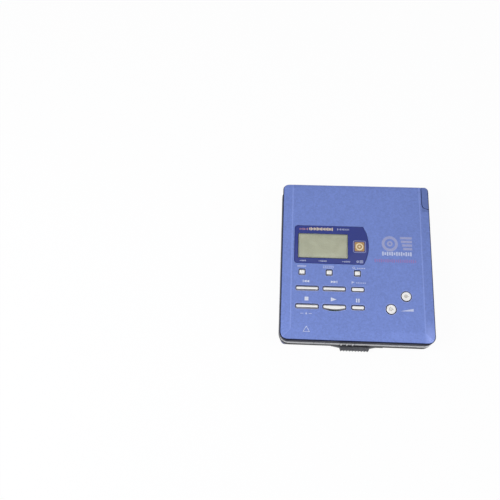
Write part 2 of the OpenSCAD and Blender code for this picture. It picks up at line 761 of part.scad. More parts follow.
module lid_frame() {
    ring_in = lid_in;
    color("#232c52") difference() {
        union() {
            difference() {
                slab(frame_z, rim_z - 0.02, front_r, rear_r, 0.15);
                slab(0, body_h, front_r, rear_r, ring_in);
            }
            difference() {
                slab(rim_z - 1, body_h - strip_drop - lid_t - 0.15, front_r, rear_r, lid_t + 0.08);
                slab(0, body_h, front_r, rear_r, ring_in + 0.2);
            }
            difference() {
                intersection() {
                    slab(ledge_z, ledge_z + 0.7, front_r, rear_r, ring_in - 0.3);
                    block(-half_w, half_w, -half_d, shelf_y - 0.5, 0, body_h);
                }
                slab(0, body_h, front_r, rear_r, ring_in + 0.9);
            }
            for (p = lid_screw_sites) hull() {
                post(p[0], p[1], ledge_z, ledge_z + 0.9, 1.4);
                block(p[0] < 0 ? p[0] - 2.2 : p[0], p[0] < 0 ? p[0] : p[0] + 2.2, p[1] - 1.4,
                    p[1] + 1.4, ledge_z, ledge_z + 0.9);
            }
        }
        block(-half_w, half_w, hinge_y - barrel_r - 0.3, half_d + 1, 0, hinge_z + barrel_r + play);
        for (p = lid_screw_sites) post(p[0], p[1], 0, body_h, 0.6);
        lid_cut();
    }
    color("#232c52") for (s = [-1, 1]) difference() {
        union() {
            rod_x(s * knuckle_x - knuckle_l / 2, s * knuckle_x + knuckle_l / 2, hinge_y, hinge_z,
                barrel_r);
            block(s * knuckle_x - knuckle_l / 2, s * knuckle_x + knuckle_l / 2, hinge_y - 0.4,
                half_d - 0.16, hinge_z, hinge_z + barrel_r + play + 0.6);
        }
        rod_x(-half_w, half_w, hinge_y, hinge_z, pin_d / 2 + run);
    }
    color("#232c52") for (x = nose_x) union() {
        block(x - catch_w / 2, x + catch_w / 2, -half_d + wall + 0.15, -half_d + wall + 0.85,
            hinge_z - 2.2, frame_z + 1);
        block(x - catch_w / 2, x + catch_w / 2, -half_d + wall + 0.15, -half_d + lid_in + 0.1,
            frame_z, frame_z + 1);
    }
}

module display_window() {
    color("#272c66") translate([0, 0, under_z]) difference() {
        linear_extrude(lid_t) window_shape(0.1);
        translate([0, 0, -1]) linear_extrude(lid_t + 2) glass_shape(0);
    }
}

module display_glass() {
    color("#a9ad97") translate([0, 0, under_z + lid_t - 0.65])
        linear_extrude(0.6) glass_shape(0.04);
}

module display_module() {
    color("#9da088") union() {
        translate([0, 0, keypad_z + keypad_t]) linear_extrude(under_z - keypad_z - keypad_t - 0.05)
            glass_shape(-0.8);
        translate([0, 0, under_z - 0.1]) linear_extrude(0.4) glass_shape(0.3);
    }
}

// Each key's place, kind and size, for the switches under them
function key_sites() = concat([for (x = square_x) [x, square_y]],
    [for (x = key_x, y = row_y) [x, y]], vol_places);

module button_board() {
    y0 = row_y[1] - 9;
    y1 = window_y + window_d / 2 + 1.8;
    color("#3d7a55") difference() {
        union() {
            block(-board_x, arm_bay_x0 - 1, y0, y1, keypad_z, keypad_z + keypad_t);
            block(0, board_x, y0, arm_bay_y0 + 2.7, keypad_z, keypad_z + keypad_t);
        }
        lid_cut();
    }
}

module button_domes() {
    color("#c9b36a") for (p = key_sites())
        post(p[0], p[1], keypad_z + keypad_t, keypad_z + keypad_t + dome_h, 1.3);
}

module lid_liner() {
    color("#5a5e69") difference() {
        intersection() {
            slab(liner_z, liner_z + liner_t, front_r, rear_r, lid_in + 0.15);
            block(-half_w, half_w, -half_d, shelf_y - 0.7, 0, body_h);
        }
        block(arm_bay_x0, rod_x1 + 1, arm_bay_y0, half_d, 0, body_h);
        for (p = lid_screw_sites) post(p[0], p[1], 0, body_h, 0.7);
        lid_cut();
    }
}

module lid_screws() {
    color("#8b8d92") for (p = lid_screw_sites) difference() {
        union() {
            post(p[0], p[1], liner_z - 0.3, liner_z, 1.1);
            post(p[0], p[1], liner_z - 0.1, ledge_z + 0.8, 0.55);
        }
        cross_cut(p[0], p[1], liner_z - 0.31, 1.3, 0.15);
    }
}

// Disc holder

module disc_holder() {
    x = cart_w / 2 + 0.25;
    y0 = cart_y0 + 0.4;
    color("#c3c5c9") difference() {
        union() {
            block(-x - sheet_t, x + sheet_t, y0, cage_y1, roof_z, roof_z + sheet_t);
            for (s = [-1, 1]) {
                block(s > 0 ? x : -x - sheet_t, s > 0 ? x + sheet_t : -x, y0 + 1.6, cage_y1, lip_z,
                    roof_z + eps);
                block(s > 0 ? x - 2.6 : -x - sheet_t, s > 0 ? x + sheet_t : -x + 2.6, y0 + 1.6,
                    cage_y1, lip_z, lip_z + sheet_t);
            }
            block(-x - sheet_t, x + sheet_t, cage_y1 - sheet_t, cage_y1, lip_z, roof_z + sheet_t);
            for (s = [-1, 1]) {
                e = s * ear_x - ear_t / 2;
                rod_x(e, e + ear_t, pivot_y, pivot_z, ear_r);
                block(e, e + ear_t, cage_y1 - 0.1, pivot_y, pivot_z - ear_r, pivot_z + ear_r);
            }
        }
        rod_x(-half_w, half_w, pivot_y, pivot_z, ear_pin_r + run);
        block(sled_x - 0.5, sled_x + strap_w + sled_travel + 0.5, cart_y1 - 0.3, half_d,
            pivot_z - 0.3, body_h);
        for (s = [-1, 1]) translate([s * (x + sheet_t), y0, 0]) rotate(45)
            cube([3, 3, 2 * body_h + 2], center = true);
        block(read_r - 3, read_r + sled_travel + 3, disc_y - 3.8, disc_y + 3.8, 0, roof_z + 2);
        block(-27, -8, disc_y - 20, disc_y + 16, roof_z - 0.1, roof_z + 1);
        post(0, disc_y, roof_z - 0.1, roof_z + 1, 5);
    }
}

module holder_springs() {
    color("#dadce0") for (x = [-31, 4]) union() {
        block(x - 1.5, x + 1.5, disc_y - 8, disc_y + 12, roof_z + sheet_t, roof_z + sheet_t + 0.15);
        for (y = [disc_y + 3, disc_y + 10])
            post(x, y, roof_z + sheet_t, roof_z + sheet_t + 0.3, 0.8);
    }
}

// Pickup, its head arm and its drive

module pickup_sled() {
    cheek = 1;
    z1 = sled_z + sled_h;
    back = shelf_y - play;
    color("#6f7278") difference() {
        union() {
            block(sled_x, sled_x + sled_l, sled_y0, sled_y1, sled_z, z1);
            block(sled_x, sled_x + strap_w, sled_y1 - 1, back, sled_z, sled_z + 1.3);
            block(sled_x + 0.2, sled_x + strap_w - 0.4, screw_y - 1.7, screw_y + 1.7,
                screw_z - screw_d / 2 - 0.5, screw_z + screw_d / 2 + 0.6);
            block(sled_x, sled_x + strap_w, cage_y1 + play, back, sled_z, arm_pivot_z);
            rod_x(sled_x, sled_x + strap_w, pivot_y, arm_pivot_z, (back - cage_y1 - play) / 2);
        }
        for (y = [rod_y0, rod_y1]) rod_x(sled_x - 1, sled_x + sled_l + 1, y, rod_z, rod_d / 2 + run);
        rod_x(sled_x - 1, sled_x + strap_w + 1, screw_y, screw_z, screw_d / 2 + run);
        block(sled_x + cheek, sled_x + strap_w - cheek, cage_y1, shelf_y, arm_pivot_z - 0.9,
            arm_pivot_z + 2);
        rod_x(sled_x - 1, sled_x + strap_w + 1, pivot_y, arm_pivot_z, 0.35 + run);
        block(sled_x + 1.5, sled_x + sled_l - 1.5, disc_y - 8, disc_y - 3.6, sled_z + 1, z1 + 1);
        block(sled_x + 1.5, sled_x + sled_l - 1.5, disc_y + 3.6, disc_y + 8, sled_z + 1, z1 + 1);
    }
}

module pickup_lens() {
    z = sled_z + sled_h;
    color("#7f93b8") union() {
        post(read_r, disc_y, z, z + 0.2, 2);
        difference() {
            post(read_r, disc_y, z, z + 0.35, 1.9);
            post(read_r, disc_y, z + 0.2, z + 1, 1.5);
        }
        translate([read_r, disc_y, z + 0.2]) intersection() {
            translate([0, 0, -2.7]) sphere(3);
            cylinder(h = 1, r = 1.2);
        }
    }
}

module head_arm() {
    cheek = 1.1;
    kr = (shelf_y - cage_y1 - 2 * play) / 2;
    color("#d3d5d9") difference() {
        union() {
            rod_x(sled_x + cheek, sled_x + strap_w - cheek, pivot_y, arm_pivot_z, kr);
            rod_x(sled_x + 0.1, sled_x + strap_w - 0.1, pivot_y, arm_pivot_z, 0.35);
            block(sled_x + cheek, sled_x + strap_w - cheek, cage_y1 + play + 0.1, pivot_y + 0.2,
                arm_pivot_z, arm_z + 0.2);
            block(sled_x + cheek, sled_x + strap_w - cheek, cart_y1 - 3, pivot_y + 0.1, arm_z,
                arm_z + arm_t);
            block(arm_x - 2, arm_x + 2, disc_y - 2.2, cart_y1 - 2, arm_z, arm_z + arm_t);
        }
        block(arm_x - 1, arm_x + 1, disc_y + 5, cart_y1 - 6, 0, body_h);
    }
}

module head_pad() {
    color("#b98a4a") union() {
        block(arm_x - 1.8, arm_x + 1.8, disc_y - 2, disc_y + 2, roof_z + 0.2, arm_z);
        block(arm_x - 1.2, arm_x + 1.2, disc_y - 1.4, disc_y + 1.4, roof_z, roof_z + 0.25);
    }
}

module lead_screw() {
    r = screw_d / 2;
    x1 = rod_x1 - 1.6;
    color("#b9a66a") union() {
        rod_x(motor_x1 + 0.4, x1, screw_y, screw_z, r);
        rod_x(motor_x1 - 2.8, motor_x1 + 0.5, screw_y, screw_z, r / 2);
        rod_x(x1 - 0.1, x1 + 1.2, screw_y, screw_z, r / 2);
    }
}

module turntable() {
    color("#d5d7da") union() {
        post(0, disc_y, board_z + board_t + 0.6 + play, table_z + eps, spindle_r);
        post(0, disc_y, table_z, table_z + 1.1, table_r);
        post(0, disc_y, table_z + 1, lip_z + 0.6, table_r - 1.8);
        translate([0, disc_y, lip_z + 0.5]) cylinder(h = tip_z - lip_z - 0.5, r1 = 1.9, r2 = 1.2);
        for (a = [0:60:300]) translate([0, disc_y, table_z + 1]) rotate(a)
            translate([table_r - 1, 0, 0]) cylinder(h = 0.3, r = 0.5);
    }
}

// Battery door, slides and keys

module battery_door() {
    color("#6d7fc0") difference() {
        union() {
            difference() {
                intersection() {
                    case_solid(front_r, rear_r);
                    door_zone(0, door_x, 0);
                    block(0, half_w + 1, 0, half_d + 1, door_z, body_h);
                }
                intersection() {
                    case_solid(front_r, rear_r, wall);
                    door_zone(-wall, door_x - 1, 0);
                }
            }
            for (y = door_lugs) {
                k = y < hinge_y - 8 ? y + lug_w : y - lug_w;
                rod_y(k, k + lug_w, door_pin_x, door_pin_z, lug_r);
                block(door_pin_x - 0.2, half_w - 0.55, k, k + lug_w, door_pin_z, door_z + 0.8);
            }
        }
        rod_y(0, half_d, door_pin_x, door_pin_z, door_pin_d / 2 + run);
    }
}

module open_slider() {
    g = grip_l / 2;
    y0 = -half_d + 0.05;
    z0 = track_z + (track_h - grip_h) / 2;
    ribs = floor(grip_l / 1.4);
    color("#5a5e66") difference() {
        union() {
            translate([grip_x, 0, z0]) linear_extrude(grip_h) polygon([
                [-g - wedge_l, y0], [-g, -half_d - wedge_out], [-g + 0.3, -half_d - grip_out],
                [g - 0.3, -half_d - grip_out], [g, -half_d - wedge_out], [g + wedge_l, y0]]);
            block(grip_x - stem_l / 2, grip_x + stem_l / 2, y0 - 0.1, bar_y,
                z0 + grip_h / 2 - stem_h / 2, z0 + grip_h / 2 + stem_h / 2);
        }
        for (i = [0:ribs - 1])
            translate([grip_x - g + (i + 0.5) * grip_l / ribs, -half_d - grip_out, 0]) rotate(45)
                translate([-0.3, -0.3, 0]) cube([0.6, 0.6, body_h]);
    }
}

module lid_latch() {
    z0 = track_z + track_h / 2 - 1;
    up = bottom_h + 0.9;
    bar_x0 = nose_x[0] + catch_w / 2 + 0.3;
    bar_x1 = nose_x[1] + catch_w / 2 + 2.3;
    color("#c0c2c6") union() {
        block(bar_x0, bar_x1, bar_y, bar_y + bar_t, z0, up + 0.6);
        for (x = nose_x) {
            n = x + catch_w / 2 + 0.3;
            block(n, n + 2, -half_d + wall + 0.2, bar_y + bar_t, up, up + 0.6);
            block(n, n + 2, -half_d + wall + 0.2, -half_d + wall + 0.8, up, hinge_z - 0.7);
        }
    }
}

// A side switch: a knob in the band's pocket, a stem through its slot and a flange inside
module side_switch(y) {
    union() {
        block(half_w - 0.45, half_w + switch_out, y, y + switch_l, switch_z - switch_h / 2,
            switch_z + switch_h / 2);
        block(half_w - wall - 0.2, half_w, y + 1, y + switch_l - 1, switch_z - 0.5, switch_z + 0.5);
        block(half_w - wall - 0.5, half_w - wall - 0.1, y + 0.5, y + switch_l - 0.5, switch_z - 1.1,
            switch_z + 1.1);
        for (i = [0:2]) block(half_w + switch_out - 0.1, half_w + switch_out + 0.2,
            y + 1.3 + i * 1, y + 1.7 + i * 1, switch_z - 0.8, switch_z + 0.8);
    }
}
module hold_switch() { color("#aeb2bb") side_switch(hold_y); }
module record_switch() { color("#c2453a") side_switch(record_y); }

module key_foot(x, y, w, d) {
    translate([x, y, flange_z + flange_t / 2])
        cube([w + 2 * flange_out, d + 2 * flange_out, flange_t], center = true);
}

// A long key: a low shelf that fills the slot and a raised rounded ridge along its middle
module bar_key(x, y, w, bow = 0) {
    d = slot_d - 0.4;
    shelf_z = under_z + lid_t * 0.3;
    top = body_h + key_up;
    ridge_r = ridge_d / 2 - 0.1;
    color("#e6e7ea") translate([x, y, 0]) union() {
        key_foot(0, 0, w, d);
        translate([0, 0, flange_z + eps]) linear_extrude(shelf_z - flange_z)
            rounded(w, d, slot_r - 0.2, bow);
        for (inset = [0, 0.1, 0.22])
            translate([0, 0, shelf_z - 0.1]) linear_extrude(top - shelf_z - 0.14 + inset / 0.22 * 0.24)
                rounded(w - 0.3 - 2 * inset, ridge_d - 2 * inset, ridge_r - inset, bow * 0.7);
    }
}

module square_key(x) {
    w = square_w;
    color("#e6e7ea") union() {
        key_foot(x, square_y, w - 0.4, w - 0.4);
        translate([x, square_y, flange_z + eps])
            linear_extrude(body_h + key_up - flange_z - eps) rounded(w, w, 0.35);
    }
}

module round_key(p) {
    r = vol_d / 2;
    top = body_h + key_up + 0.2;
    color("#e6e7ea") union() {
        post(p[0], p[1], flange_z, flange_z + flange_t, r + flange_out + 0.3);
        translate([p[0], p[1], 0]) rotate_extrude() polygon(concat(
            [[0, flange_z + eps], [r, flange_z + eps]],
            arc(r - 0.5, top - 0.5, 0.5, 0, 80, 5), [[r * 0.55, top - 0.02], [0, top - 0.08]]));
    }
}

module mode_button() { square_key(square_x[0]); }
module display_button() { square_key(square_x[1]); }
module search_button() { square_key(square_x[2]); }
module previous_button() { bar_key(key_x[0], row_y[0], key_w); }
module next_button() { bar_key(key_x[1], row_y[0], key_w); }
module mark_button() { bar_key(key_x[2], row_y[0], short_w); }
module stop_button() { bar_key(key_x[0], row_y[1], key_w); }
module play_button() { bar_key(key_x[1], row_y[1], key_w, play_bow); }
module pause_button() { bar_key(key_x[2], row_y[1], short_w); }
module volume_up_button() { round_key(vol_places[0]); }
module volume_down_button() { round_key(vol_places[1]); }

bottom_cover();
side_frame();
slider_track();
main_board();
board_chips();
chassis_plate();
rubber_dampers();
guide_rods();
screw_bearings();
sled_motor();
motor_flex();
spindle_motor();
battery_compartment();
battery_cell();
battery_contacts();
holder_pins();
hinge_pin();
battery_door_pin();
headphone_jack();
line_in_jack();
mic_jack();
dc_in_jack();
bottom_screws();
lid_cover();
lid_frame();
display_window();
display_glass();
display_module();
button_board();
button_domes();
lid_liner();
lid_screws();
disc_holder();
holder_springs();
head_arm();
head_pad();
pickup_sled();
pickup_lens();
lead_screw();
turntable();
battery_door();
open_slider();
lid_latch();
hold_switch();
record_switch();
mode_button();
display_button();
search_button();
previous_button();
next_button();
mark_button();
stop_button();
play_button();
pause_button();
volume_up_button();
volume_down_button();
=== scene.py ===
import bmesh
import bpy
import json
import math
from mathutils import Matrix, Vector
from mathutils.bvhtree import BVHTree

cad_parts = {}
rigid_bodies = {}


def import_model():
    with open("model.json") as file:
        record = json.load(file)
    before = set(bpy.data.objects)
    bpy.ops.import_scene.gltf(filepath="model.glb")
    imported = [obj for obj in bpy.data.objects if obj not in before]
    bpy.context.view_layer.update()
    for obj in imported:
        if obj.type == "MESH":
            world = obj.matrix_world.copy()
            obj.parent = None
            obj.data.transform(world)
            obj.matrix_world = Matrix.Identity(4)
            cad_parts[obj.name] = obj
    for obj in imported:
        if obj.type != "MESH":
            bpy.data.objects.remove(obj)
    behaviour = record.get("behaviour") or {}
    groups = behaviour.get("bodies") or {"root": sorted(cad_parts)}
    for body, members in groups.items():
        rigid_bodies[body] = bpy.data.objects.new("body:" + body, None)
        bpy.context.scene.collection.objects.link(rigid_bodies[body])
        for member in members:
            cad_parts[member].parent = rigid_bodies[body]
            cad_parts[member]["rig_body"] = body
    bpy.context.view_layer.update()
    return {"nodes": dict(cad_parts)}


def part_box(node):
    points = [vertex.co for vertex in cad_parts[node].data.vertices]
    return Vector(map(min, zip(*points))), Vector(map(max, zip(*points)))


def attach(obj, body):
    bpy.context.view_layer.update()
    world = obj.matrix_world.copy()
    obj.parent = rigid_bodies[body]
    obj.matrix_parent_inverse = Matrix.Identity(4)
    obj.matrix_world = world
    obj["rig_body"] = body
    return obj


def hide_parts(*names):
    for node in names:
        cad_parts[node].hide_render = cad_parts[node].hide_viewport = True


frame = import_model()
nodes = frame["nodes"]
mm = 0.001
print("frame loaded:", len(nodes), "nodes")


def atMm(*values):
    return Vector(values) * mm


def addObject(name, data):
    obj = bpy.data.objects.new(name, data)
    bpy.context.scene.collection.objects.link(obj)
    return obj


# Camera, fitted to the four corners of the lid in the picture

camera = {
    "azimuth": 8.395,
    "elevation": 71.129,
    "roll": -6.311,
    "place": (-40.27, -100.28, 327.28),
    "focalPixels": 620,
    "framePixels": 500,
    "sensor": 36,
}


def makeCamera():
    az, el, roll = [math.radians(camera[k]) for k in ("azimuth", "elevation", "roll")]
    back = Vector((math.sin(az) * math.cos(el), -math.cos(az) * math.cos(el), math.sin(el)))
    right = (-back).cross(Vector((0, 0, 1))).normalized()
    up = right.cross(-back)
    across = math.cos(roll) * right + math.sin(roll) * up
    upward = -math.sin(roll) * right + math.cos(roll) * up
    data = bpy.data.cameras.new("camera")
    data.sensor_width = camera["sensor"]
    data.lens = camera["focalPixels"] * camera["sensor"] / camera["framePixels"]
    data.clip_start, data.clip_end = 0.01, 20
    eye = addObject("camera", data)
    eye.matrix_world = Matrix.Translation(atMm(*camera["place"])) @ Matrix(
        (across, upward, back)).transposed().to_4x4()
    bpy.context.scene.camera = eye


# Small helpers for node trees

def feed(node, inputs):   # links the sockets and sets the plain values
    for key, value in inputs.items():
        if isinstance(value, bpy.types.NodeSocket):
            node.id_data.links.new(value, node.inputs[key])
        else:
            node.inputs[key].default_value = value
    return node


def put(tree, kind, inputs={}, **settings):
    node = tree.nodes.new(kind)
    for key, value in settings.items():
        setattr(node, key, value)
    return feed(node, inputs)


def sums(tree, operation, a, b=0.0):
    return put(tree, "ShaderNodeMath", {0: a, 1: b}, operation=operation).outputs[0]


def times(tree, value, *others):
    for other in others:
        value = sums(tree, "MULTIPLY", value, other)
    return value


def noise(tree, place, scale, detail=2.0):
    return put(tree, "ShaderNodeTexNoise", {"Vector": place, "Scale": scale,
                                           "Detail": detail}).outputs["Fac"]


def spread(tree, value, low, high, toLow=0.0, toHigh=1.0):
    ends = {0: value, 1: low, 2: high, 3: toLow, 4: toHigh}
    return put(tree, "ShaderNodeMapRange", ends).outputs[0]


def ramp(tree, value, ends, toLow=0.0, toHigh=1.0):   # as spread, between two places in millimetres
    return spread(tree, value, ends[0] * mm, ends[1] * mm, toLow, toHigh)


def lineAt(tree, offset, width, share):   # strongest where the offset is nought
    return ramp(tree, sums(tree, "ABSOLUTE", offset), (0.0, width), share, 0.0)


def srgb(red, green, blue):
    def linear(c):
        c = c / 255
        return c / 12.92 if c <= 0.04045 else ((c + 0.055) / 1.055) ** 2.4
    return (linear(red), linear(green), linear(blue), 1.0)


def mixed(tree, factor, a, b, mode="MIX"):   # a triple is an sRGB colour
    a, b = [srgb(*c) if isinstance(c, tuple) and len(c) == 3 else c for c in (a, b)]
    sockets = {0: factor, 6: a, 7: b}
    return put(tree, "ShaderNodeMix", sockets, data_type="RGBA", blend_type=mode).outputs[2]


def above(tree, value, place):   # one where the value lies above a place in millimetres
    return sums(tree, "GREATER_THAN", value, place * mm)


def below(tree, value, place):
    return sums(tree, "LESS_THAN", value, place * mm)


def whereOn(tree):
    return put(tree, "ShaderNodeTexCoord").outputs["Object"]


def startGroup(name, inputs, outputs):
    group = bpy.data.node_groups.new(name, "ShaderNodeTree")
    for label, kind, value in inputs:
        socket = group.interface.new_socket(label, in_out="INPUT", socket_type="NodeSocket" + kind)
        socket.default_value = value
    for label, kind in outputs:
        group.interface.new_socket(label, in_out="OUTPUT", socket_type="NodeSocket" + kind)
    return group, put(group, "NodeGroupInput").outputs, put(group, "NodeGroupOutput")


# Shared effects, each a shader node group

def softEdgeGroup():   # rounds the shading of sharp edges and says where they are
    group, given, out = startGroup(
        "softEdge", [("Radius", "Float", 0.0002), ("Scale", "Float", 900.0)],
        [("Normal", "Vector"), ("Edge", "Float")])
    bevel = put(group, "ShaderNodeBevel", {"Radius": given["Radius"]}, samples=6).outputs[0]
    shape = put(group, "ShaderNodeNewGeometry").outputs["Normal"]
    dot = put(group, "ShaderNodeVectorMath", {0: bevel, 1: shape},
              operation="DOT_PRODUCT").outputs["Value"]
    broken = spread(group, noise(group, whereOn(group), given["Scale"], 3.0), 0.42, 0.62)
    feed(out, {"Normal": bevel, "Edge": times(group, spread(group, dot, 0.995, 0.85), broken)})
    return group


def flakeGroup():   # metallic paint: fine flakes and a slow drift of tone
    group, given, out = startGroup(
        "paintFlake", [("Colour", "Color", (1, 1, 1, 1)), ("Size", "Float", 0.25),
                       ("Amount", "Float", 0.1)],
        [("Colour", "Color"), ("Height", "Float")])
    place = whereOn(group)
    cells = put(group, "ShaderNodeTexVoronoi",
                {"Vector": place, "Scale": sums(group, "DIVIDE", 1000.0, given["Size"])})
    grain = noise(group, place, sums(group, "DIVIDE", 420.0, given["Size"]))
    fleck = put(group, "ShaderNodeSeparateColor", {0: cells.outputs["Color"]}).outputs[0]
    tone = times(group, fleck, 0.45)
    for value, share in ((grain, 0.9), (noise(group, place, 45.0), 0.35)):
        tone = sums(group, "ADD", tone, times(group, value, share))
    shade = sums(group, "ADD", 1.0,
                 times(group, sums(group, "SUBTRACT", tone, 0.85), given["Amount"]))
    grey = put(group, "ShaderNodeCombineColor", {0: shade, 1: shade, 2: shade}).outputs[0]
    feed(out, {"Colour": mixed(group, 1.0, given["Colour"], grey, "MULTIPLY"),
               "Height": sums(group, "ADD", fleck, grain)})
    return group


def grainGroup():   # moulded plastic and cast metal: an even fine texture
    group, given, out = startGroup(
        "mouldGrain", [("Size", "Float", 0.3)], [("Value", "Float"), ("Height", "Float")])
    place = whereOn(group)
    fine = noise(group, place, sums(group, "DIVIDE", 700.0, given["Size"]))
    wide = times(group, noise(group, place, 90.0, 3.0), 0.5)
    feed(out, {"Value": sums(group, "ADD", times(group, fine, 0.5), wide), "Height": fine})
    return group


def brushGroup():   # rolled or brushed metal: long streaks one way
    group, given, out = startGroup(
        "brushing", [("Stretch", "Vector", (40.0, 2500.0, 900.0))],
        [("Value", "Float"), ("Height", "Float")])
    turned = put(group, "ShaderNodeMapping", {"Vector": whereOn(group), "Scale": given["Stretch"]})
    streak = noise(group, turned.outputs[0], 1.0, 4.0)
    feed(out, {"Value": streak, "Height": streak})
    return group


def handlingGroup():   # finger marks and a little dust
    group, given, out = startGroup(
        "handling", [("Amount", "Float", 0.1)], [("Rough", "Float"), ("Dust", "Float")])
    place = whereOn(group)
    smear = put(group, "ShaderNodeTexNoise", {"Vector": place, "Scale": 70.0, "Detail": 5.0,
                                             "Distortion": 1.2}).outputs["Fac"]
    rough, dust = spread(group, smear, 0.35, 0.7, -1.0, 1.0), noise(group, place, 1600.0)
    feed(out, {"Rough": times(group, rough, given["Amount"]),
               "Dust": times(group, spread(group, dust, 0.7, 0.8), given["Amount"])})
    return group


groups = {
    "edge": softEdgeGroup(),
    "flake": flakeGroup(),
    "mould": grainGroup(),
    "brush": brushGroup(),
    "handling": handlingGroup(),
}


def useGroup(tree, name, inputs):
    return put(tree, "ShaderNodeGroup", inputs, node_tree=groups[name])


def startMaterial(name):
    material = bpy.data.materials.new(name)
    material.use_nodes = True
    tree = material.node_tree
    return material, tree, tree.nodes["Principled BSDF"]


def placeOf(tree):   # the place on the object as X, Y and Z
    return put(tree, "ShaderNodeSeparateXYZ", {0: whereOn(tree)}).outputs


def startLook(name, look):   # a material with soft edges and marks of handling
    material, tree, shader = startMaterial(name)
    soft = useGroup(tree, "edge", {"Radius": look["edge"] * mm}).outputs
    touch = useGroup(tree, "handling", {"Amount": look["marks"]}).outputs
    return material, tree, shader, soft, touch


def flakesOf(tree, colour, look):
    return useGroup(tree, "flake", {"Colour": srgb(*colour), "Size": look["flake"],
                                    "Amount": look["contrast"]}).outputs


def shaded(tree, value, dull, bright):
    return mixed(tree, spread(tree, value, 0.3, 0.7), dull, bright)


def relief(tree, height, normal, depth):
    return put(tree, "ShaderNodeBump", {"Height": height, "Strength": 1.0, "Distance": depth * mm,
                                       "Normal": normal}).outputs[0]


def dusty(tree, touch, colour, dust, rough):   # base colour and roughness with handling
    return {"Base Color": mixed(tree, touch["Dust"], colour, dust),
            "Roughness": sums(tree, "ADD", rough, touch["Rough"])}


usual = dict(metal=0.0, coat=0.0, texture="mould", size=0.3, stretch=(40.0, 2500.0, 900.0),
             tone=0.08, bump=0.004, edge=0.2, wear=0.0, marks=0.06, specular=0.5,
             dust=(160, 160, 162))


def makeFinish(name, values):
    look = {**usual, **values}
    material, tree, shader, soft, touch = startLook(name, look)
    base = srgb(*look["colour"])[:3]
    key = {"mould": "size", "brush": "stretch"}[look["texture"]]
    pattern = useGroup(tree, look["texture"], {key.capitalize(): look[key]}).outputs
    dull, bright = [tuple(min(1.0, c * k) for c in base) + (1.0,)
                    for k in (1 - look["tone"], 1 + look["tone"])]
    coloured = shaded(tree, pattern["Value"], dull, bright)
    if look["wear"]:
        coloured = mixed(tree, times(tree, soft["Edge"], look["wear"]), coloured, look["worn"])
    feed(shader, dusty(tree, touch, coloured, look["dust"], look["rough"]))
    feed(shader, {"Metallic": look["metal"], "Coat Weight": look["coat"], "Coat Roughness": 0.12,
                  "Specular IOR Level": look["specular"],
                  "Normal": relief(tree, pattern["Height"], soft["Normal"], look["bump"])})
    return material


# Finishes, one for each material slot of the record. Colours are sRGB, sizes are in millimetres

finishes = {
    "frame_navy": dict(colour=(18, 22, 50), rough=0.45, specular=0.06, edge=0.2, tone=0.1,
                       marks=0.03),
    "slider_grey": dict(colour=(62, 64, 72), rough=0.42, edge=0.18, worn=(150, 152, 160), wear=0.5),
    "chip_black": dict(colour=(26, 26, 29), rough=0.5, edge=0.08, bump=0.006),
    "sheet_steel": dict(colour=(196, 198, 204), rough=0.38, metal=0.6, texture="brush",
                        stretch=(30.0, 1800.0, 600.0), tone=0.1, edge=0.08, marks=0.03),
    "rubber_black": dict(colour=(30, 30, 33), rough=0.75, edge=0.15, bump=0.01),
    "bright_steel": dict(colour=(205, 207, 211), rough=0.2, metal=1.0, texture="brush",
                         stretch=(60.0, 2600.0, 2600.0), tone=0.06, edge=0.08),
    "motor_can": dict(colour=(168, 170, 176), rough=0.36, metal=1.0, edge=0.15, size=0.2),
    "flex_amber": dict(colour=(190, 116, 40), rough=0.35, coat=0.2, edge=0.05),
    "tray_plastic": dict(colour=(44, 46, 54), rough=0.52, edge=0.15, bump=0.008),
    "battery_wrap": dict(colour=(74, 88, 132), rough=0.32, coat=0.25, edge=0.4, tone=0.05),
    "contact_gold": dict(colour=(222, 184, 98), rough=0.24, metal=1.0, edge=0.06),
    "jack_black": dict(colour=(24, 25, 29), rough=0.42, edge=0.15),
    "screw_steel": dict(colour=(134, 137, 146), rough=0.32, metal=1.0, edge=0.1),
    "liner_grey": dict(colour=(76, 80, 92), rough=0.5, edge=0.12, bump=0.008),
    "sled_grey": dict(colour=(112, 115, 123), rough=0.45, metal=0.3, edge=0.12, bump=0.01),
    "pad_felt": dict(colour=(176, 132, 74), rough=0.85, edge=0.1, bump=0.03, size=0.15),
    "screw_brass": dict(colour=(188, 166, 98), rough=0.26, metal=1.0, edge=0.05),
    "table_metal": dict(colour=(208, 210, 214), rough=0.26, metal=1.0, edge=0.12),
    "switch_silver": dict(colour=(170, 173, 182), rough=0.34, metal=0.6, edge=0.12),
    "record_red": dict(colour=(176, 44, 36), rough=0.38, coat=0.2, edge=0.12),
}


paint = {
    "colour": (118, 138, 205),
    # the light tone of the crease and hip lines and the front-right corner: a painted highlight
    "creaseHighlight": (150, 168, 236),
    # the light tone on the edges of the key slots: a painted highlight
    "slotEdgeHighlight": (176, 188, 236),
    "door": (88, 104, 156),
    # the near-black navy of the rolled rim: painted shade
    "rim": (14, 17, 42),
    "foot": (52, 64, 128),
    "dust": (150, 155, 175),
    "flake": 0.55,
    "contrast": 0.3,
    "creaseAt": 33.7,
    "creaseWidth": 0.45,
    "creaseShare": 0.6,
    "hipAt": -37.1,
    "hipFade": 0.6,
    "hipWidth": 0.5,
    "hipShare": 0.45,
    # where the front-right corner gets its light patch: a painted highlight
    "sheenPast": (-1.0, 1.6),
    "sheenAhead": (-7.0, 0.5),
    "sheenShare": 0.7,
    "keysAt": (-2.5, -3.5),
    "keysShare": 0.7,
    "doorX": 34.8,
    "doorY": 28.3,
    "doorShare": 0.45,
    "rimAt": (18.14, 17.98),
    "footAt": (7.1, 6.95),
    "rough": (0.45, 0.5),
    "metal": 0.2,
    "coat": 0.08,
    "edge": 0.2,
    "marks": 0.06,
    "relief": 0.004,
}


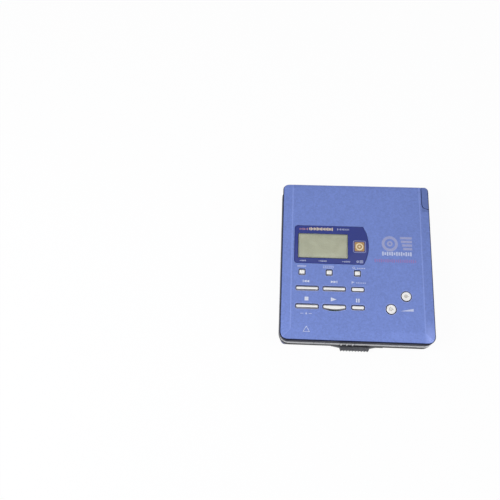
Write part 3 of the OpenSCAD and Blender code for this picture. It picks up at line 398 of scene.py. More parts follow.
def lidFinish():   # satin paint: painted highlights on the creases, the front hips and the front-right corner and by the key slots, painted shade on the rim, blue on the door's foot
    material, tree, shader, soft, touch = startLook("lid_blue", paint)
    flakes = flakesOf(tree, paint["colour"], paint)
    x, y, z = placeOf(tree)
    past = sums(tree, "SUBTRACT", sums(tree, "ABSOLUTE", x), paint["creaseAt"] * mm)
    ahead = sums(tree, "SUBTRACT", paint["hipAt"] * mm, y)
    # painted highlight: a light line along each side crease, ending at the hip, and one along each
    # front hip
    creaseHighlightMask = times(tree, ramp(tree, y, (paint["hipAt"], paint["hipAt"] + paint["hipFade"])),
                     lineAt(tree, past, paint["creaseWidth"], paint["creaseShare"]))
    hipHighlightMask = times(tree, above(tree, ahead, 0.0),
                  lineAt(tree, sums(tree, "SUBTRACT", past, ahead), paint["hipWidth"],
                         paint["hipShare"]))
    # painted highlight on the front-right corner beyond the crease and hip, in the crease's light
    # tone
    sheen = times(tree, ramp(tree, past, paint["sheenPast"]),
                  ramp(tree, ahead, paint["sheenAhead"], 0.0, paint["sheenShare"]),
                  above(tree, x, 0.0))
    # painted highlight on the sharp edges from y -2.5 forward, broken up by noise
    slotEdgeHighlightMask = times(tree, soft["Edge"], ramp(tree, y, paint["keysAt"], 0.0, paint["keysShare"]))
    onDoor = times(tree, above(tree, x, paint["doorX"]), above(tree, y, paint["doorY"]),
                   paint["doorShare"])
    # the rim mask puts painted shade on the rolled rim below z 18.1; the foot mask is the door's
    # blue foot
    rimShadeMask, onFoot = ramp(tree, z, paint["rimAt"]), ramp(tree, z, paint["footAt"])
    coloured = flakes["Colour"]
    for share, tone in ((creaseHighlightMask, "creaseHighlight"), (hipHighlightMask, "creaseHighlight"), (sheen, "creaseHighlight"),
                        (slotEdgeHighlightMask, "slotEdgeHighlight"), (onDoor, "door"), (rimShadeMask, "rim"),
                        (onFoot, "foot")):
        coloured = mixed(tree, share, coloured, paint[tone])
    feed(shader, dusty(tree, touch, coloured, paint["dust"],
                       spread(tree, rimShadeMask, 0.0, 1.0, *paint["rough"])))
    feed(shader, {"Metallic": spread(tree, rimShadeMask, 0.0, 1.0, paint["metal"], 0.0),
                  "Coat Weight": spread(tree, rimShadeMask, 0.0, 1.0, paint["coat"], 0.0),
                  "Coat Roughness": 0.15, "Specular IOR Level": 0.04,
                  "Normal": relief(tree, flakes["Height"], soft["Normal"], paint["relief"])})
    return material


shell = {
    "blue": (52, 64, 128),
    "worn": (120, 130, 180),
    "inner": (40, 42, 50),
    "dust": (150, 150, 155),
    "halfWidth": 37.3,
    "front": -40.8,
    "rear": 40.4,
    "floor": 0.5,
    "flake": 0.25,
    "contrast": 0.14,
    "wear": 0.3,
    "rough": 0.46,
    "metal": 0.2,
    "edge": 0.3,
    "marks": 0.06,
    "relief": 0.004,
}


def baseFinish():   # blue paint outside, bare dark plastic inside the shell
    material, tree, shader, soft, touch = startLook("base_blue", shell)
    flakes = flakesOf(tree, shell["blue"], shell)
    x, y, z = placeOf(tree)
    inner = times(tree, below(tree, sums(tree, "ABSOLUTE", x), shell["halfWidth"]),
                  above(tree, y, shell["front"]), below(tree, y, shell["rear"]),
                  above(tree, z, shell["floor"]))
    coloured = mixed(tree, times(tree, soft["Edge"], shell["wear"]), flakes["Colour"],
                     shell["worn"])
    coloured = mixed(tree, inner, coloured, shell["inner"])
    feed(shader, dusty(tree, touch, coloured, shell["dust"], shell["rough"]))
    feed(shader, {"Metallic": spread(tree, inner, 0.0, 1.0, shell["metal"], 0.0),
                  "Normal": relief(tree, flakes["Height"], soft["Normal"], shell["relief"])})
    return material


keyPaint = {
    "shades": ((244, 243, 241), (252, 252, 252)),
    # the flank and shelf tones are painted shade: dark close under the ridge, mid grey on the shelf
    "flank": (92, 88, 94),
    "shelf": (150, 150, 164),
    "dust": (205, 200, 190),
    "shelfTop": (18.36, 18.44),
    "ridgeTop": (19.06, 19.16),
    "grain": 0.3,
    "rough": 0.34,
    "edge": 0.1,
    "marks": 0.05,
}


def keyFinish():   # pearl white plastic; painted shade darkens the flank under each ridge and greys the shelf below it
    material, tree, shader, soft, touch = startLook("key_silver", keyPaint)
    grain = useGroup(tree, "mould", {"Size": keyPaint["grain"]}).outputs
    height = placeOf(tree)[2]
    face = shaded(tree, grain["Value"], *keyPaint["shades"])
    # painted shade: grey on the shelf, dark on the flank under the ridge
    under = mixed(tree, ramp(tree, height, keyPaint["shelfTop"]), keyPaint["shelf"],
                  keyPaint["flank"])
    face = mixed(tree, ramp(tree, height, keyPaint["ridgeTop"]), under, face)
    feed(shader, dusty(tree, touch, face, keyPaint["dust"], keyPaint["rough"]))
    feed(shader, {"Coat Weight": 0.15, "Normal": soft["Normal"]})
    return material


bandPaint = {
    "shades": ((205, 206, 210), (222, 223, 226)),
    # the grey tone at the sides of the trim: painted shade
    "side": (122, 124, 132),
    "low": (20, 21, 26),
    "dust": (150, 150, 152),
    "sideAt": (38.0, 39.2),
    "lowAt": (11.35, 11.25),
    "grain": 0.2,
    "rough": (0.32, 0.45),
    "metal": 0.4,
    "edge": 0.2,
    "marks": 0.06,
    "relief": 0.003,
}


def bandFinish():   # satin silver trim along the top, with painted shade at the sides, and dark below it
    material, tree, shader, soft, touch = startLook("band_silver", bandPaint)
    grain = useGroup(tree, "mould", {"Size": bandPaint["grain"]}).outputs
    place = placeOf(tree)
    tone = shaded(tree, grain["Value"], *bandPaint["shades"])
    # painted shade on the trim at the sides
    sideShadeMask = ramp(tree, sums(tree, "ABSOLUTE", place[0]), bandPaint["sideAt"])
    tone = mixed(tree, sideShadeMask, tone, bandPaint["side"])
    low = ramp(tree, place[2], bandPaint["lowAt"])
    tone = mixed(tree, low, tone, bandPaint["low"])
    feed(shader, dusty(tree, touch, tone, bandPaint["dust"],
                       spread(tree, low, 0.0, 1.0, *bandPaint["rough"])))
    feed(shader, {"Metallic": spread(tree, low, 0.0, 1.0, bandPaint["metal"], 0.0),
                  "Specular IOR Level": 0.08,
                  "Normal": relief(tree, grain["Height"], soft["Normal"], bandPaint["relief"])})
    return material


windowPaint = {
    "shades": ((31, 46, 124), (39, 55, 144)),
    # the lighter tone on the plate's edges: a painted highlight
    "edgeHighlight": (86, 92, 168),
    "edgeShare": 0.5,
    "rough": 0.12,
    "edge": 0.25,
    "marks": 0.05,
}


def windowFinish():   # acrylic printed from behind, with a painted highlight on its edges
    material, tree, shader, soft, touch = startLook("window_indigo", windowPaint)
    ink = mixed(tree, noise(tree, whereOn(tree), 120.0), *windowPaint["shades"])
    edgeHighlightMask = times(tree, soft["Edge"], windowPaint["edgeShare"])
    feed(shader, {"Base Color": mixed(tree, edgeHighlightMask, ink, windowPaint["edgeHighlight"]),
                  "Roughness": sums(tree, "ADD", windowPaint["rough"], touch["Rough"]),
                  "Coat Weight": 0.2, "Coat Roughness": 0.04, "Specular IOR Level": 0.3,
                  "Normal": soft["Normal"]})
    return material


def glassFinish():   # clear acrylic that lets the light through to the display
    material, tree, shader = startMaterial("clear_glass")
    tint = srgb(240, 243, 240)
    feed(shader, {"Base Color": tint, "Roughness": 0.04, "IOR": 1.47, "Transmission Weight": 1.0})
    clear = put(tree, "ShaderNodeBsdfTransparent", {"Color": tint})
    shadow = put(tree, "ShaderNodeLightPath").outputs["Is Shadow Ray"]
    both = put(tree, "ShaderNodeMixShader", {0: shadow, 1: shader.outputs[0], 2: clear.outputs[0]})
    feed(tree.nodes["Material Output"], {"Surface": both.outputs[0]})
    return material


panelPaint = {
    "shades": ((143, 141, 123), (159, 156, 137)),
    # the darker tone towards the border: painted shade
    "borderShade": (120, 122, 108),
    "across": (-30.45, -4.45),
    "along": (0.75, 14.25),
    "border": 1.1,
}


def panelFinish():   # the reflective display: olive grey, with painted shade towards its border
    material, tree, shader = startMaterial("display_panel")
    inside = None
    for value, ends in zip(placeOf(tree), (panelPaint["across"], panelPaint["along"])):
        for side in (sums(tree, "SUBTRACT", value, ends[0] * mm),
                     sums(tree, "SUBTRACT", ends[1] * mm, value)):
            inside = sums(tree, "MINIMUM", inside, side) if inside else side
    middle = ramp(tree, inside, (0.0, panelPaint["border"]))
    face = shaded(tree, noise(tree, whereOn(tree), 260.0, 3.0), *panelPaint["shades"])
    feed(shader, {"Base Color": mixed(tree, middle, panelPaint["borderShade"], face),
                  "Roughness": 0.5})
    return material


def boardFinish():   # green board with copper runs under the lacquer
    material, tree, shader = startMaterial("board_green")
    place = whereOn(tree)
    runs = put(tree, "ShaderNodeTexBrick", {
        "Vector": place, "Color1": srgb(30, 92, 56), "Color2": srgb(34, 100, 62),
        "Mortar": srgb(66, 134, 84), "Scale": 260.0, "Mortar Size": 0.05, "Mortar Smooth": 0.1,
        "Brick Width": 1.4, "Row Height": 0.32}).outputs
    holes = put(tree, "ShaderNodeTexVoronoi", {"Vector": place, "Scale": 420.0})
    dots = spread(tree, holes.outputs["Distance"], 0.1, 0.14)
    raised = put(tree, "ShaderNodeBump", {"Height": runs["Fac"], "Distance": 0.03 * mm})
    feed(shader, {"Base Color": mixed(tree, dots, (190, 168, 92), runs["Color"]),
                  "Roughness": 0.36, "Coat Weight": 0.3, "Normal": raised.outputs[0]})
    return material


def lensFinish():   # coated glass over the laser
    material, tree, shader = startMaterial("lens_glass")
    swirl = noise(tree, whereOn(tree), 500.0)
    feed(shader, {"Base Color": mixed(tree, swirl, (60, 50, 120), (96, 120, 190)),
                  "Roughness": 0.06, "Coat Weight": 1.0})
    return material


def inkFinish(name, colour, rough=0.42, metal=0.0):   # screen-printed ink, slightly uneven; the rim tone is a painted highlight, not print
    material, tree, shader = startMaterial("ink_" + name)
    speck = spread(tree, noise(tree, whereOn(tree), 2200.0), 0.3, 0.6)
    thin = tuple(c * 0.84 for c in srgb(*colour)[:3]) + (1.0,)
    feed(shader, {"Base Color": mixed(tree, speck, thin, colour), "Roughness": rough,
                  "Metallic": metal})
    return material


materials = {name: makeFinish(name, values) for name, values in finishes.items()}
materials.update(lid_blue=lidFinish(), base_blue=baseFinish(), key_silver=keyFinish(),
                 band_silver=bandFinish(), window_indigo=windowFinish(),
                 clear_glass=glassFinish(), display_panel=panelFinish(),
                 board_green=boardFinish(), lens_glass=lensFinish())
inkTones = {   # colour, roughness and metallic
    "white": ((222, 228, 246),),
    "pale": ((200, 208, 240),),
    "gold": ((174, 136, 82), 0.34, 0.3),
    "cream": ((238, 220, 188), 0.36),
    "rose": ((196, 140, 150), 0.36),
    "lilac": ((156, 162, 206), 0.4, 0.2),
    "red": ((146, 122, 190),),
    "grey": ((140, 128, 112),),
    # rim: a light tone for the flats round the key slots, a painted highlight
    "rim": ((160, 174, 232), 0.35, 0.4),
}
inks = {name: inkFinish(name, *values) for name, values in inkTones.items()}
for node in nodes.values():
    for slot in node.material_slots:
        slot.material = materials[slot.name.split(".")[0]]
print("materials made:", len(materials) + len(inks))


# Mesh helpers. Sizes are in millimetres until a mesh is finished

def finishMesh(bm, name, material, smoothAngle=32):
    bmesh.ops.remove_doubles(bm, verts=bm.verts, dist=1e-4)
    bmesh.ops.recalc_face_normals(bm, faces=bm.faces)
    mesh = bpy.data.meshes.new(name)
    bm.to_mesh(mesh)
    bm.free()
    mesh.transform(Matrix.Scale(mm, 4))
    mesh.polygons.foreach_set("use_smooth", [True] * len(mesh.polygons))
    mesh.set_sharp_from_angle(angle=math.radians(smoothAngle))
    mesh.materials.append(material)
    return addObject(name, mesh)


def settle(obj, smoothAngle=32):   # modifiers become plain mesh
    graph = bpy.context.evaluated_depsgraph_get()
    mesh = bpy.data.meshes.new_from_object(obj.evaluated_get(graph))
    obj.modifiers.clear()
    old = obj.data
    obj.data = mesh
    bpy.data.meshes.remove(old)
    mesh.polygons.foreach_set("use_smooth", [True] * len(mesh.polygons))
    mesh.set_sharp_from_angle(angle=math.radians(smoothAngle))
    return obj


def carve(obj, cutter, smoothAngle=32):
    cut = obj.modifiers.new("cut", "BOOLEAN")
    cut.object = cutter
    cut.operation = "DIFFERENCE"
    cut.solver = "EXACT"
    settle(obj, smoothAngle)
    bpy.data.objects.remove(cutter)
    return obj


def loft(bm, rings, closeStart=True, closeEnd=True):   # skins a stack of equal closed rings
    rows = [[bm.verts.new(p) for p in ring] for ring in rings]
    count = len(rows[0])
    for a, b in zip(rows, rows[1:]):
        for i in range(count):
            j = (i + 1) % count
            bm.faces.new((a[i], a[j], b[j], b[i]))
    if closeStart:
        bm.faces.new(reversed(rows[0]))
    if closeEnd:
        bm.faces.new(rows[-1])


def lofted(name, slot, *stacks, smoothAngle=32):
    bm = bmesh.new()
    for rings in stacks:
        loft(bm, rings)
    return finishMesh(bm, name, materials[slot], smoothAngle)


def arcPoints(x, y, r, start, end, steps):
    turns = [math.radians(start + (end - start) * i / steps) for i in range(steps + 1)]
    return [(x + r * math.cos(t), y + r * math.sin(t)) for t in turns]


def roundedOutline(x, y, wide, deep, r, grow=0.0, bow=0.0, steps=6):
    w, d = wide / 2 + grow, deep / 2 + grow
    r = min(max(r + grow, 0.02), w, d)
    points = arcPoints(x + w - r, y + d - r, r, 0, 90, steps)
    points += arcPoints(x - w + r, y + d - r, r, 90, 180, steps)
    points += arcPoints(x - w + r, y - d + r, r, 180, 270, steps)
    if bow:
        half = w - r - 0.2
        big = (half * half + bow * bow) / (2 * bow)
        turn = math.degrees(math.asin(half / big))
        points += arcPoints(x, y - d - bow + big, big, 270 - turn, 270 + turn, 12)
    points += arcPoints(x + w - r, y - d + r, r, 270, 360, steps)
    return points


def prism(outline, low, high):
    return [[(x, y, z) for x, y in outline] for z in (low, high)]


def stacked(outlineOf, levels):   # levels are (height, growth) pairs
    return [[(px, py, z) for px, py in outlineOf(grow)] for z, grow in levels]


def ridesOn(obj, body, stands=()):
    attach(obj, body)
    if stands:
        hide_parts(*stands)


# Lid: a pressed metal cover with sloped strips along three sides

lid = {
    "halfWidth": 39.0,
    "halfDepth": 42.5,
    "top": 19.0,
    "rim": 16.6,
    "thick": 1.0,
    "strip": 5.3,
    "frontStrip": 5.4,
    "rearStrip": 1.5,
    "drop": 0.85,
    "rearDrop": 0.2,
    "edge": 0.8,
    "frontRadius": 4.2,
    "rearRadius": 2.6,
    "flat": 0.66,
    "softness": 0.035,
    "doorCut": 34.75,
    "hingeY": 41.2,
    "hingeZ": 12.0,
    "doorReach": 12.95,
    "doorCorner": 2.0,
    "doorSteps": 96,
    "steps": (7.6, 6.6, 6.0, 5.7, 5.5, 5.3, 5.1, 4.9, 4.6, 4.0, 3.0, 2.0, 1.3, 0.9, 0.66),
    "innerSteps": (1.0, 2.0, 3.6, 5.3, 7.6),
    "slotWall": ((-1.6, 0.0), (-0.16, 0.0), (-0.07, 0.03), (-0.01, 0.1), (0.3, 0.3)),
}
keys = {
    "longX": (-25.4, -11.6, 0.4),
    "longWidth": (11.6, 11.6, 6.5),
    "rowY": (-15.7, -25.2),
    "slotDepth": 2.8,
    "slotRadius": 0.9,
    "squareX": (-28.2, -14.2, 0.3),
    "squareY": -7.1,
    "square": 3.0,
    "squareGap": 0.3,
    "bow": 0.8,
    "volume": ((24.8, -18.6), (17.0, -25.5)),
    "volumeWidth": 4.8,
    "gap": 0.4,
}
window = {
    "x": -13.0,
    "y": 8.2,
    "width": 38.8,
    "depth": 21.0,
    "bulge": 2.8,
    "corner": 1.6,
    "glassX": -17.45,
    "glassY": 7.5,
    "glassWidth": 26.0,
    "glassDepth": 13.5,
    "glassRadius": 0.5,
    "crown": ((-1.0, -0.1), (-0.2, -0.1), (-0.1, -0.13), (-0.04, -0.2), (-0.02, -0.32)),
    "glassWall": ((-1.5, 0.0), (-0.3, 0.0), (0.2, 0.25)),
}


def softMax(a, b, k):
    return (a + b + math.sqrt((a - b) ** 2 + k * k)) / 2


def lidHeight(x, y):
    fall = 0.0
    slopes = ((abs(x) - lid["halfWidth"], lid["strip"], lid["drop"]),
              (-y - lid["halfDepth"], lid["frontStrip"], lid["drop"]),
              (y - lid["halfDepth"], lid["rearStrip"], lid["rearDrop"]))
    for past, strip, drop in slopes:
        past = min(past, -lid["flat"])
        fall = softMax(fall, (past + strip) * drop / (strip - lid["flat"]), lid["softness"])
    return lid["top"] - min(fall, lid["drop"])


def lidOutline(inset):
    w, d = lid["halfWidth"] - inset, lid["halfDepth"] - inset
    f = max(lid["frontRadius"] - inset, 0.3)
    r = max(lid["rearRadius"] - inset, 0.3)
    corners = [arcPoints(w - r, d - r, r, 0, 90, 9), arcPoints(-w + r, d - r, r, 90, 180, 9),
               arcPoints(-w + f, -d + f, f, 180, 270, 9), arcPoints(w - f, -d + f, f, 270, 360, 9)]
    points = []
    for corner, following, steps in zip(corners, corners[1:] + corners[:1], (56, 40, 24, 40)):
        points += corner
        ax, ay = corner[-1]
        bx, by = following[0]
        points += [(ax + (bx - ax) * i / steps, ay + (by - ay) * i / steps)
                   for i in range(1, steps)]
    return points


def windowOutline(grow=0.0):
    w, d = window["width"] / 2 + grow, window["depth"] / 2 + grow
    big = (d * d + window["bulge"] ** 2) / (2 * window["bulge"])
    turn = math.degrees(math.asin(d / big))
    r = window["corner"]
    points = arcPoints(w - big, 0, big, -turn, turn, 28)
    points += arcPoints(-w + r, d - r, r, 90, 180, 8) + arcPoints(-w + r, -d + r, r, 180, 270, 8)
    return [(window["x"] + px, window["y"] + py) for px, py in points]


def slotOutlines():   # every opening in the lid, as a function of its growth
    found = []
    for i, x in enumerate(keys["longX"]):
        for j, y in enumerate(keys["rowY"]):
            wide = keys["longWidth"][i] + keys["gap"]
            bow = keys["bow"] if (i, j) == (1, 1) else 0.0
            found.append(lambda g, x=x, y=y, wide=wide, bow=bow: roundedOutline(
                x, y, wide, keys["slotDepth"], keys["slotRadius"], g, bow))
    side = keys["square"] + 2 * keys["squareGap"]
    for x in keys["squareX"]:
        found.append(lambda g, x=x: roundedOutline(x, keys["squareY"], side, side, 0.7, g))
    across = keys["volumeWidth"] + 2 * keys["gap"]
    for x, y in keys["volume"]:
        found.append(lambda g, x=x, y=y: roundedOutline(x, y, across, across, across / 2, g,
                                                        steps=10))
    return found + [windowOutline]


def doorCutter():   # a turned shape about the lid's hinge axis
    reach, corner, x0 = lid["doorReach"], lid["doorCorner"], lid["doorCut"]
    profile = [(0.0, x0)] + arcPoints(reach - corner, x0 + corner, corner, -90, 0, 8)
    profile += [(reach, x0 + 6), (0.0, x0 + 6)]
    bm = bmesh.new()
    rings = []
    for i in range(lid["doorSteps"]):
        t = 2 * math.pi * i / lid["doorSteps"]
        rings.append([bm.verts.new((x, lid["hingeY"] + r * math.cos(t),
                                    lid["hingeZ"] + r * math.sin(t))) for r, x in profile])
    for a, b in zip(rings, rings[1:] + rings[:1]):
        for i in range(len(profile) - 1):
            bm.faces.new([a[i], a[i + 1], b[i + 1], b[i]])
    return finishMesh(bm, "doorCutter", materials["lid_blue"])


def makeLid():
    top, rim, e = lid["top"], lid["rim"], lid["edge"]
    rings = [[(x, y, lidHeight(x, y)) for x, y in lidOutline(d)] for d in lid["steps"]]
    for angle in range(10, 91, 10):
        d = e * (1 - math.sin(math.radians(angle)))
        fall = e * (1 - math.cos(math.radians(angle)))
        if d < lid["flat"]:
            rings.append([(x, y, lidHeight(x, y) - fall) for x, y in lidOutline(d)])
    rings += stacked(lambda g: lidOutline(-g),
                     [(rim + 0.12, 0.0), (rim, -0.1), (rim, -lid["thick"])])
    for d in lid["innerSteps"]:
        rings.append([(x, y, lidHeight(x, y) - lid["thick"]) for x, y in lidOutline(d)])
    cover = lofted("lidCover", "lid_blue", rings)
    walls = [(top + rise, grow) for rise, grow in lid["slotWall"]]
    carve(cover, lofted("slotCutter", "lid_blue",
                        *[stacked(outlineOf, walls) for outlineOf in slotOutlines()]))
    carve(cover, doorCutter())
    ridesOn(cover, "lid", ["lid_cover"])


def makeWindow():
    top, w = lid["top"], window
    plate = lofted("displayWindow", "window_indigo", stacked(windowOutline, [
        (top + rise, grow) for rise, grow in w["crown"]]))
    hole = stacked(lambda g: roundedOutline(w["glassX"], w["glassY"], w["glassWidth"],
                                            w["glassDepth"], w["glassRadius"], g),
                   [(top + rise, grow) for rise, grow in w["glassWall"]])
    carve(plate, lofted("glassCutter", "window_indigo", hole))
    ridesOn(plate, "lid", ["display_window"])


# Keys: a shelf that fills the slot and a raised ridge; the squares are plain caps

keyShapes = {
    "foot": 17.2,
    "footTop": 17.6,
    "shelf": 18.3,
    "shelfDepth": 2.4,
    "shelfRadius": 0.7,
    "ridgeShift": -0.05,
    "ridgeBow": 0.55,
    "capDepth": 2.35,
    "capRadius": 0.5,
}
# Heights and growths of the two crowns, from the foot up
ridgeCrown = ((18.2, 0.0), (18.9, 0.0), (19.04, -0.05), (19.14, -0.13), (19.22, -0.25),
              (19.28, -0.42), (19.3, -0.6))
capCrown = ((18.6, 0.0), (18.95, -0.02), (19.08, -0.12), (19.16, -0.24), (19.25, -0.4),
            (19.29, -0.6), (19.3, -0.9))
longKeys = {   # column, row and depth of the ridge
    "previous_button": (0, 0, 1.35),
    "next_button": (1, 0, 1.4),
    "mark_button": (2, 0, 1.8),
    "stop_button": (0, 1, 1.35),
    "play_button": (1, 1, 1.5),
    "pause_button": (2, 1, 1.7),
}
squareKeys = ("mode_button", "display_button", "search_button")


def partName(node):
    return "".join(w.capitalize() if i else w for i, w in enumerate(node.split("_")))


def makeKey(node, x, y, wide, deep, radius, grow, ridge):   # foot, filling of the slot, ridge
    k = keyShapes
    foot = bar(x, y, wide + 2 * grow, deep + 2 * grow)
    key = lofted(partName(node), "key_silver",
                 prism(foot, k["foot"], k["footTop"]),
                 stacked(lambda g: roundedOutline(x, y, wide, deep, radius, g),
                         [(k["foot"] + 0.1, 0.0), (k["shelf"] - 0.1, 0.0), (k["shelf"], -0.1)]),
                 ridge, smoothAngle=50)
    ridesOn(key, nodes[node]["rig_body"], [node])


def makeLongKey(node, column, line, ridge):
    k = keyShapes
    x, y = keys["longX"][column], keys["rowY"][line]
    wide = keys["longWidth"][column]
    bow = k["ridgeBow"] if node == "play_button" else 0.0
    top = stacked(lambda g: roundedOutline(x, y + k["ridgeShift"], wide - 0.3, ridge,
                                           ridge / 2 - 0.1, g, bow), ridgeCrown)
    makeKey(node, x, y, wide, k["shelfDepth"], k["shelfRadius"], 0.2, top)


def makeSquareKey(node, x):
    k, side, y = keyShapes, keys["square"], keys["squareY"]
    top = stacked(lambda g: roundedOutline(x, y, side, k["capDepth"], k["capRadius"], g), capCrown)
    makeKey(node, x, y, side, side, k["capRadius"], 0.3, top)


# Switches: the CAD shape with its edges rounded off

softened = {"hold_switch": 0.1, "record_switch": 0.1}


def softCopy(node, width):
    bm = bmesh.new()
    bm.from_mesh(nodes[node].data)
    bmesh.ops.scale(bm, vec=(1 / mm,) * 3, verts=bm.verts)
    bmesh.ops.remove_doubles(bm, verts=bm.verts, dist=1e-3)
    bmesh.ops.dissolve_limit(bm, angle_limit=math.radians(1), verts=bm.verts, edges=bm.edges)
    slot = nodes[node].material_slots[0].name.split(".")[0]
    obj = finishMesh(bm, partName(node), materials[slot])
    bevel = obj.modifiers.new("bevel", "BEVEL")
    bevel.width = width * mm
    bevel.segments = 3
    bevel.limit_method = "ANGLE"
    bevel.angle_limit = math.radians(40)
    bevel.harden_normals = False
    settle(obj)
    ridesOn(obj, nodes[node]["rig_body"], [node])


# Printed marks: thin flats of ink on the lid, the window and the volume keys; the light flats round
# the key slots are a painted highlight

def flatMark(name, shapes, z, ink, body, thick=0.025):   # z is a height or a function of place
    level = z if callable(z) else lambda x, y: z
    bm = bmesh.new()
    for shape in shapes:
        hollow = isinstance(shape, tuple)
        outer = shape[0] if hollow else shape
        low = [(x, y, level(x, y)) for x, y in outer]
        high = [(x, y, h + thick) for x, y, h in low]
        if not hollow:
            loft(bm, [low, high])
            continue
        innerLow = [(x, y, level(x, y)) for x, y in shape[1]]
        innerHigh = [(x, y, h + thick) for x, y, h in innerLow]
        loft(bm, [low, high, innerHigh, innerLow, low], False, False)
    ridesOn(finishMesh(bm, name, inks[ink]), body)


def box(x0, x1, y0, y1):
    return [(x0, y0), (x1, y0), (x1, y1), (x0, y1)]


def bar(x, y, w, h):
    return box(x - w / 2, x + w / 2, y - h / 2, y + h / 2)


def row(x0, x1, y, count, h, fill=0.6):   # evenly spaced dashes; h is one height or a list
    step = (x1 - x0) / count
    heights = h if isinstance(h, (list, tuple)) else [h]
    return [bar(x0 + (i + 0.5) * step, y, step * fill, heights[i % len(heights)])
            for i in range(count)]


def arrow(x, y, w, h, way=1):   # a triangle that points along X
    return [(x - way * w / 2, y - h / 2), (x + way * w / 2, y), (x - way * w / 2, y + h / 2)][::way]


def circle(x, y, r, steps=28):
    return arcPoints(x, y, r, 0, 360 - 360 / steps, steps - 1)


def ring(x, y, outer, inner, steps=28):
    return (circle(x, y, outer, steps), circle(x, y, inner, steps))


def frameRing(x, y, w, h, r, line):
    return (roundedOutline(x, y, w, h, r, 0.0), roundedOutline(x, y, w, h, r, -line))


def triangleRing(x, y, side, line):
    def corners(s):
        h = s * math.sqrt(3) / 2
        return [(x - s / 2, y - h / 3), (x + s / 2, y - h / 3), (x, y + h * 2 / 3)]
    return (corners(side), corners(side - 2 * math.sqrt(3) * line))


def surfaceOf(node):   # height of a node's upper face at a place, in millimetres
    mesh = nodes[node].data
    tree = BVHTree.FromPolygons([v.co for v in mesh.vertices],
                                [p.vertices[:] for p in mesh.polygons])

    def level(x, y):
        hit = tree.ray_cast(atMm(x, y, 60), Vector((0, 0, -1)))[0]
        return hit.z / mm - 0.006
    return level


lidPrints = {
    "skipX": ((-25.84, -1), (-11.96, 1)),
    "skipY": -12.05,
    "rowY": -21.3,
    "stopX": -25.72,
    "playX": -11.9,
    "pauseX": 0.27,
    "openSign": (-25.62, -37.35, 3.5, 0.19),
    "slotLine": 0.14,
    "discX": 17.3,
    "discY": 9.6,
    "stripesX": (22.6, 28.8),
    "stripesY": (12.9, 10.9, 8.9, 6.9),
    "paleRow": (13.0, 28.6, 4.1, 13, [2.2, 1.4, 2.2, 1.8], 0.66),
    "redRow": (9.0, 30.8, 0.2, 20, [1.9, 1.3, 1.7], 0.62),
    "emblem": (1.55, 7.5, 6.6),
}
smallSigns = {   # each a list of outlines, in millimetres on the lid
    "mode, two lines": [bar(-28.4, -3.72, 4.6, 0.24), bar(-28.4, -4.22, 4.6, 0.24)],
    "display, a frame round dashes": [frameRing(-14.7, -4.1, 5.4, 1.3, 0.3, 0.2)]
                                     + row(-16.6, -12.8, -4.1, 4, 0.3),
    "search, a glass and dashes": [ring(-1.6, -4.15, 0.62, 0.4),
                                   [(-1.2, -4.6), (-1.05, -4.45), (-0.55, -4.95), (-0.7, -5.1)]]
                                  + row(0.0, 4.4, -4.35, 5, 0.5),
    "mark, a flag and dashes": [bar(-2.6, -12.2, 0.26, 1.5), arrow(-1.8, -11.9, 1.4, 0.85)]
                               + row(-0.6, 4.6, -12.2, 6, 0.45),
    "charging, a flash between bars": [[(-25.6, -28.1), (-26.4, -29.2), (-25.85, -29.2),
                                        (-26.05, -30.0), (-25.15, -28.85), (-25.7, -28.85)],
                                       bar(-28.0, -29.0, 1.6, 0.26), bar(-23.8, -29.0, 1.6, 0.26)],
    "volume, a rising wedge": [[(21.6, -26.3), (28.2, -26.3), (28.2, -24.9)]],
}


def makeLidPrints():
    z, m = lid["top"] - 0.005, lidPrints
    white = []
    for x, way in m["skipX"]:   # skip back and skip on
        white += [arrow(x - 0.65 * way, m["skipY"], 1.5, 1.35, way),
                  arrow(x + 0.75 * way, m["skipY"], 1.5, 1.35, way),
                  bar(x + 1.72 * way, m["skipY"], 0.3, 1.35)]
    white += [bar(m["stopX"], m["rowY"], 2.0, 2.0), arrow(m["playX"], m["rowY"], 2.9, 2.1)]
    white += [bar(m["pauseX"] + s * 0.57, m["rowY"] - 0.2, 0.62, 2.0) for s in (-1, 1)]
    flatMark("keySigns", white + [triangleRing(*m["openSign"])], z, "white", "lid")
    flatMark("smallSigns", [shape for sign in smallSigns.values() for shape in sign], z, "pale",
             "lid")
    disc = [ring(m["discX"], m["discY"], 4.2, 2.7, 40), ring(m["discX"], m["discY"], 1.5, 0.6)]
    x0, x1 = m["stripesX"]
    disc += [box(x0 + i * 0.5, x1, y - 0.65, y + 0.65) for i, y in enumerate(m["stripesY"])]
    flatMark("discSign", disc, z, "lilac", "lid")
    flatMark("dashRow", row(*m["paleRow"]), z, "pale", "lid")
    flatMark("redRow", row(*m["redRow"]), z, "red", "lid")
    # light flats round each key slot: a painted highlight on the slot rims
    flatMark("slotRims", [(outlineOf(0.1 + m["slotLine"]), outlineOf(0.1))
                          for outlineOf in slotOutlines()[:-1]], z, "rim", "lid", 0.02)


windowPrints = {
    "levelBars": (-24.9, -12.2, 16.8, 16, [1.2, 1.75, 0.9, 1.5, 1.1, 1.75, 1.3], 0.62),
    "levelLine": (-30.0, -25.3, 16.6, 6, [0.9, 0.5, 1.2], 0.5),
    "topScale": (-10.3, -3.6, 16.85, 8, [1.1, 0.7], 0.35),
    "lowScales": ((-29.2, 3), (-19.4, 4), (-7.2, 4)),
    "lowY": -0.95,
    "dotX": 0.5,
    "dotY": -0.75,
    "linesX": 2.4,
}


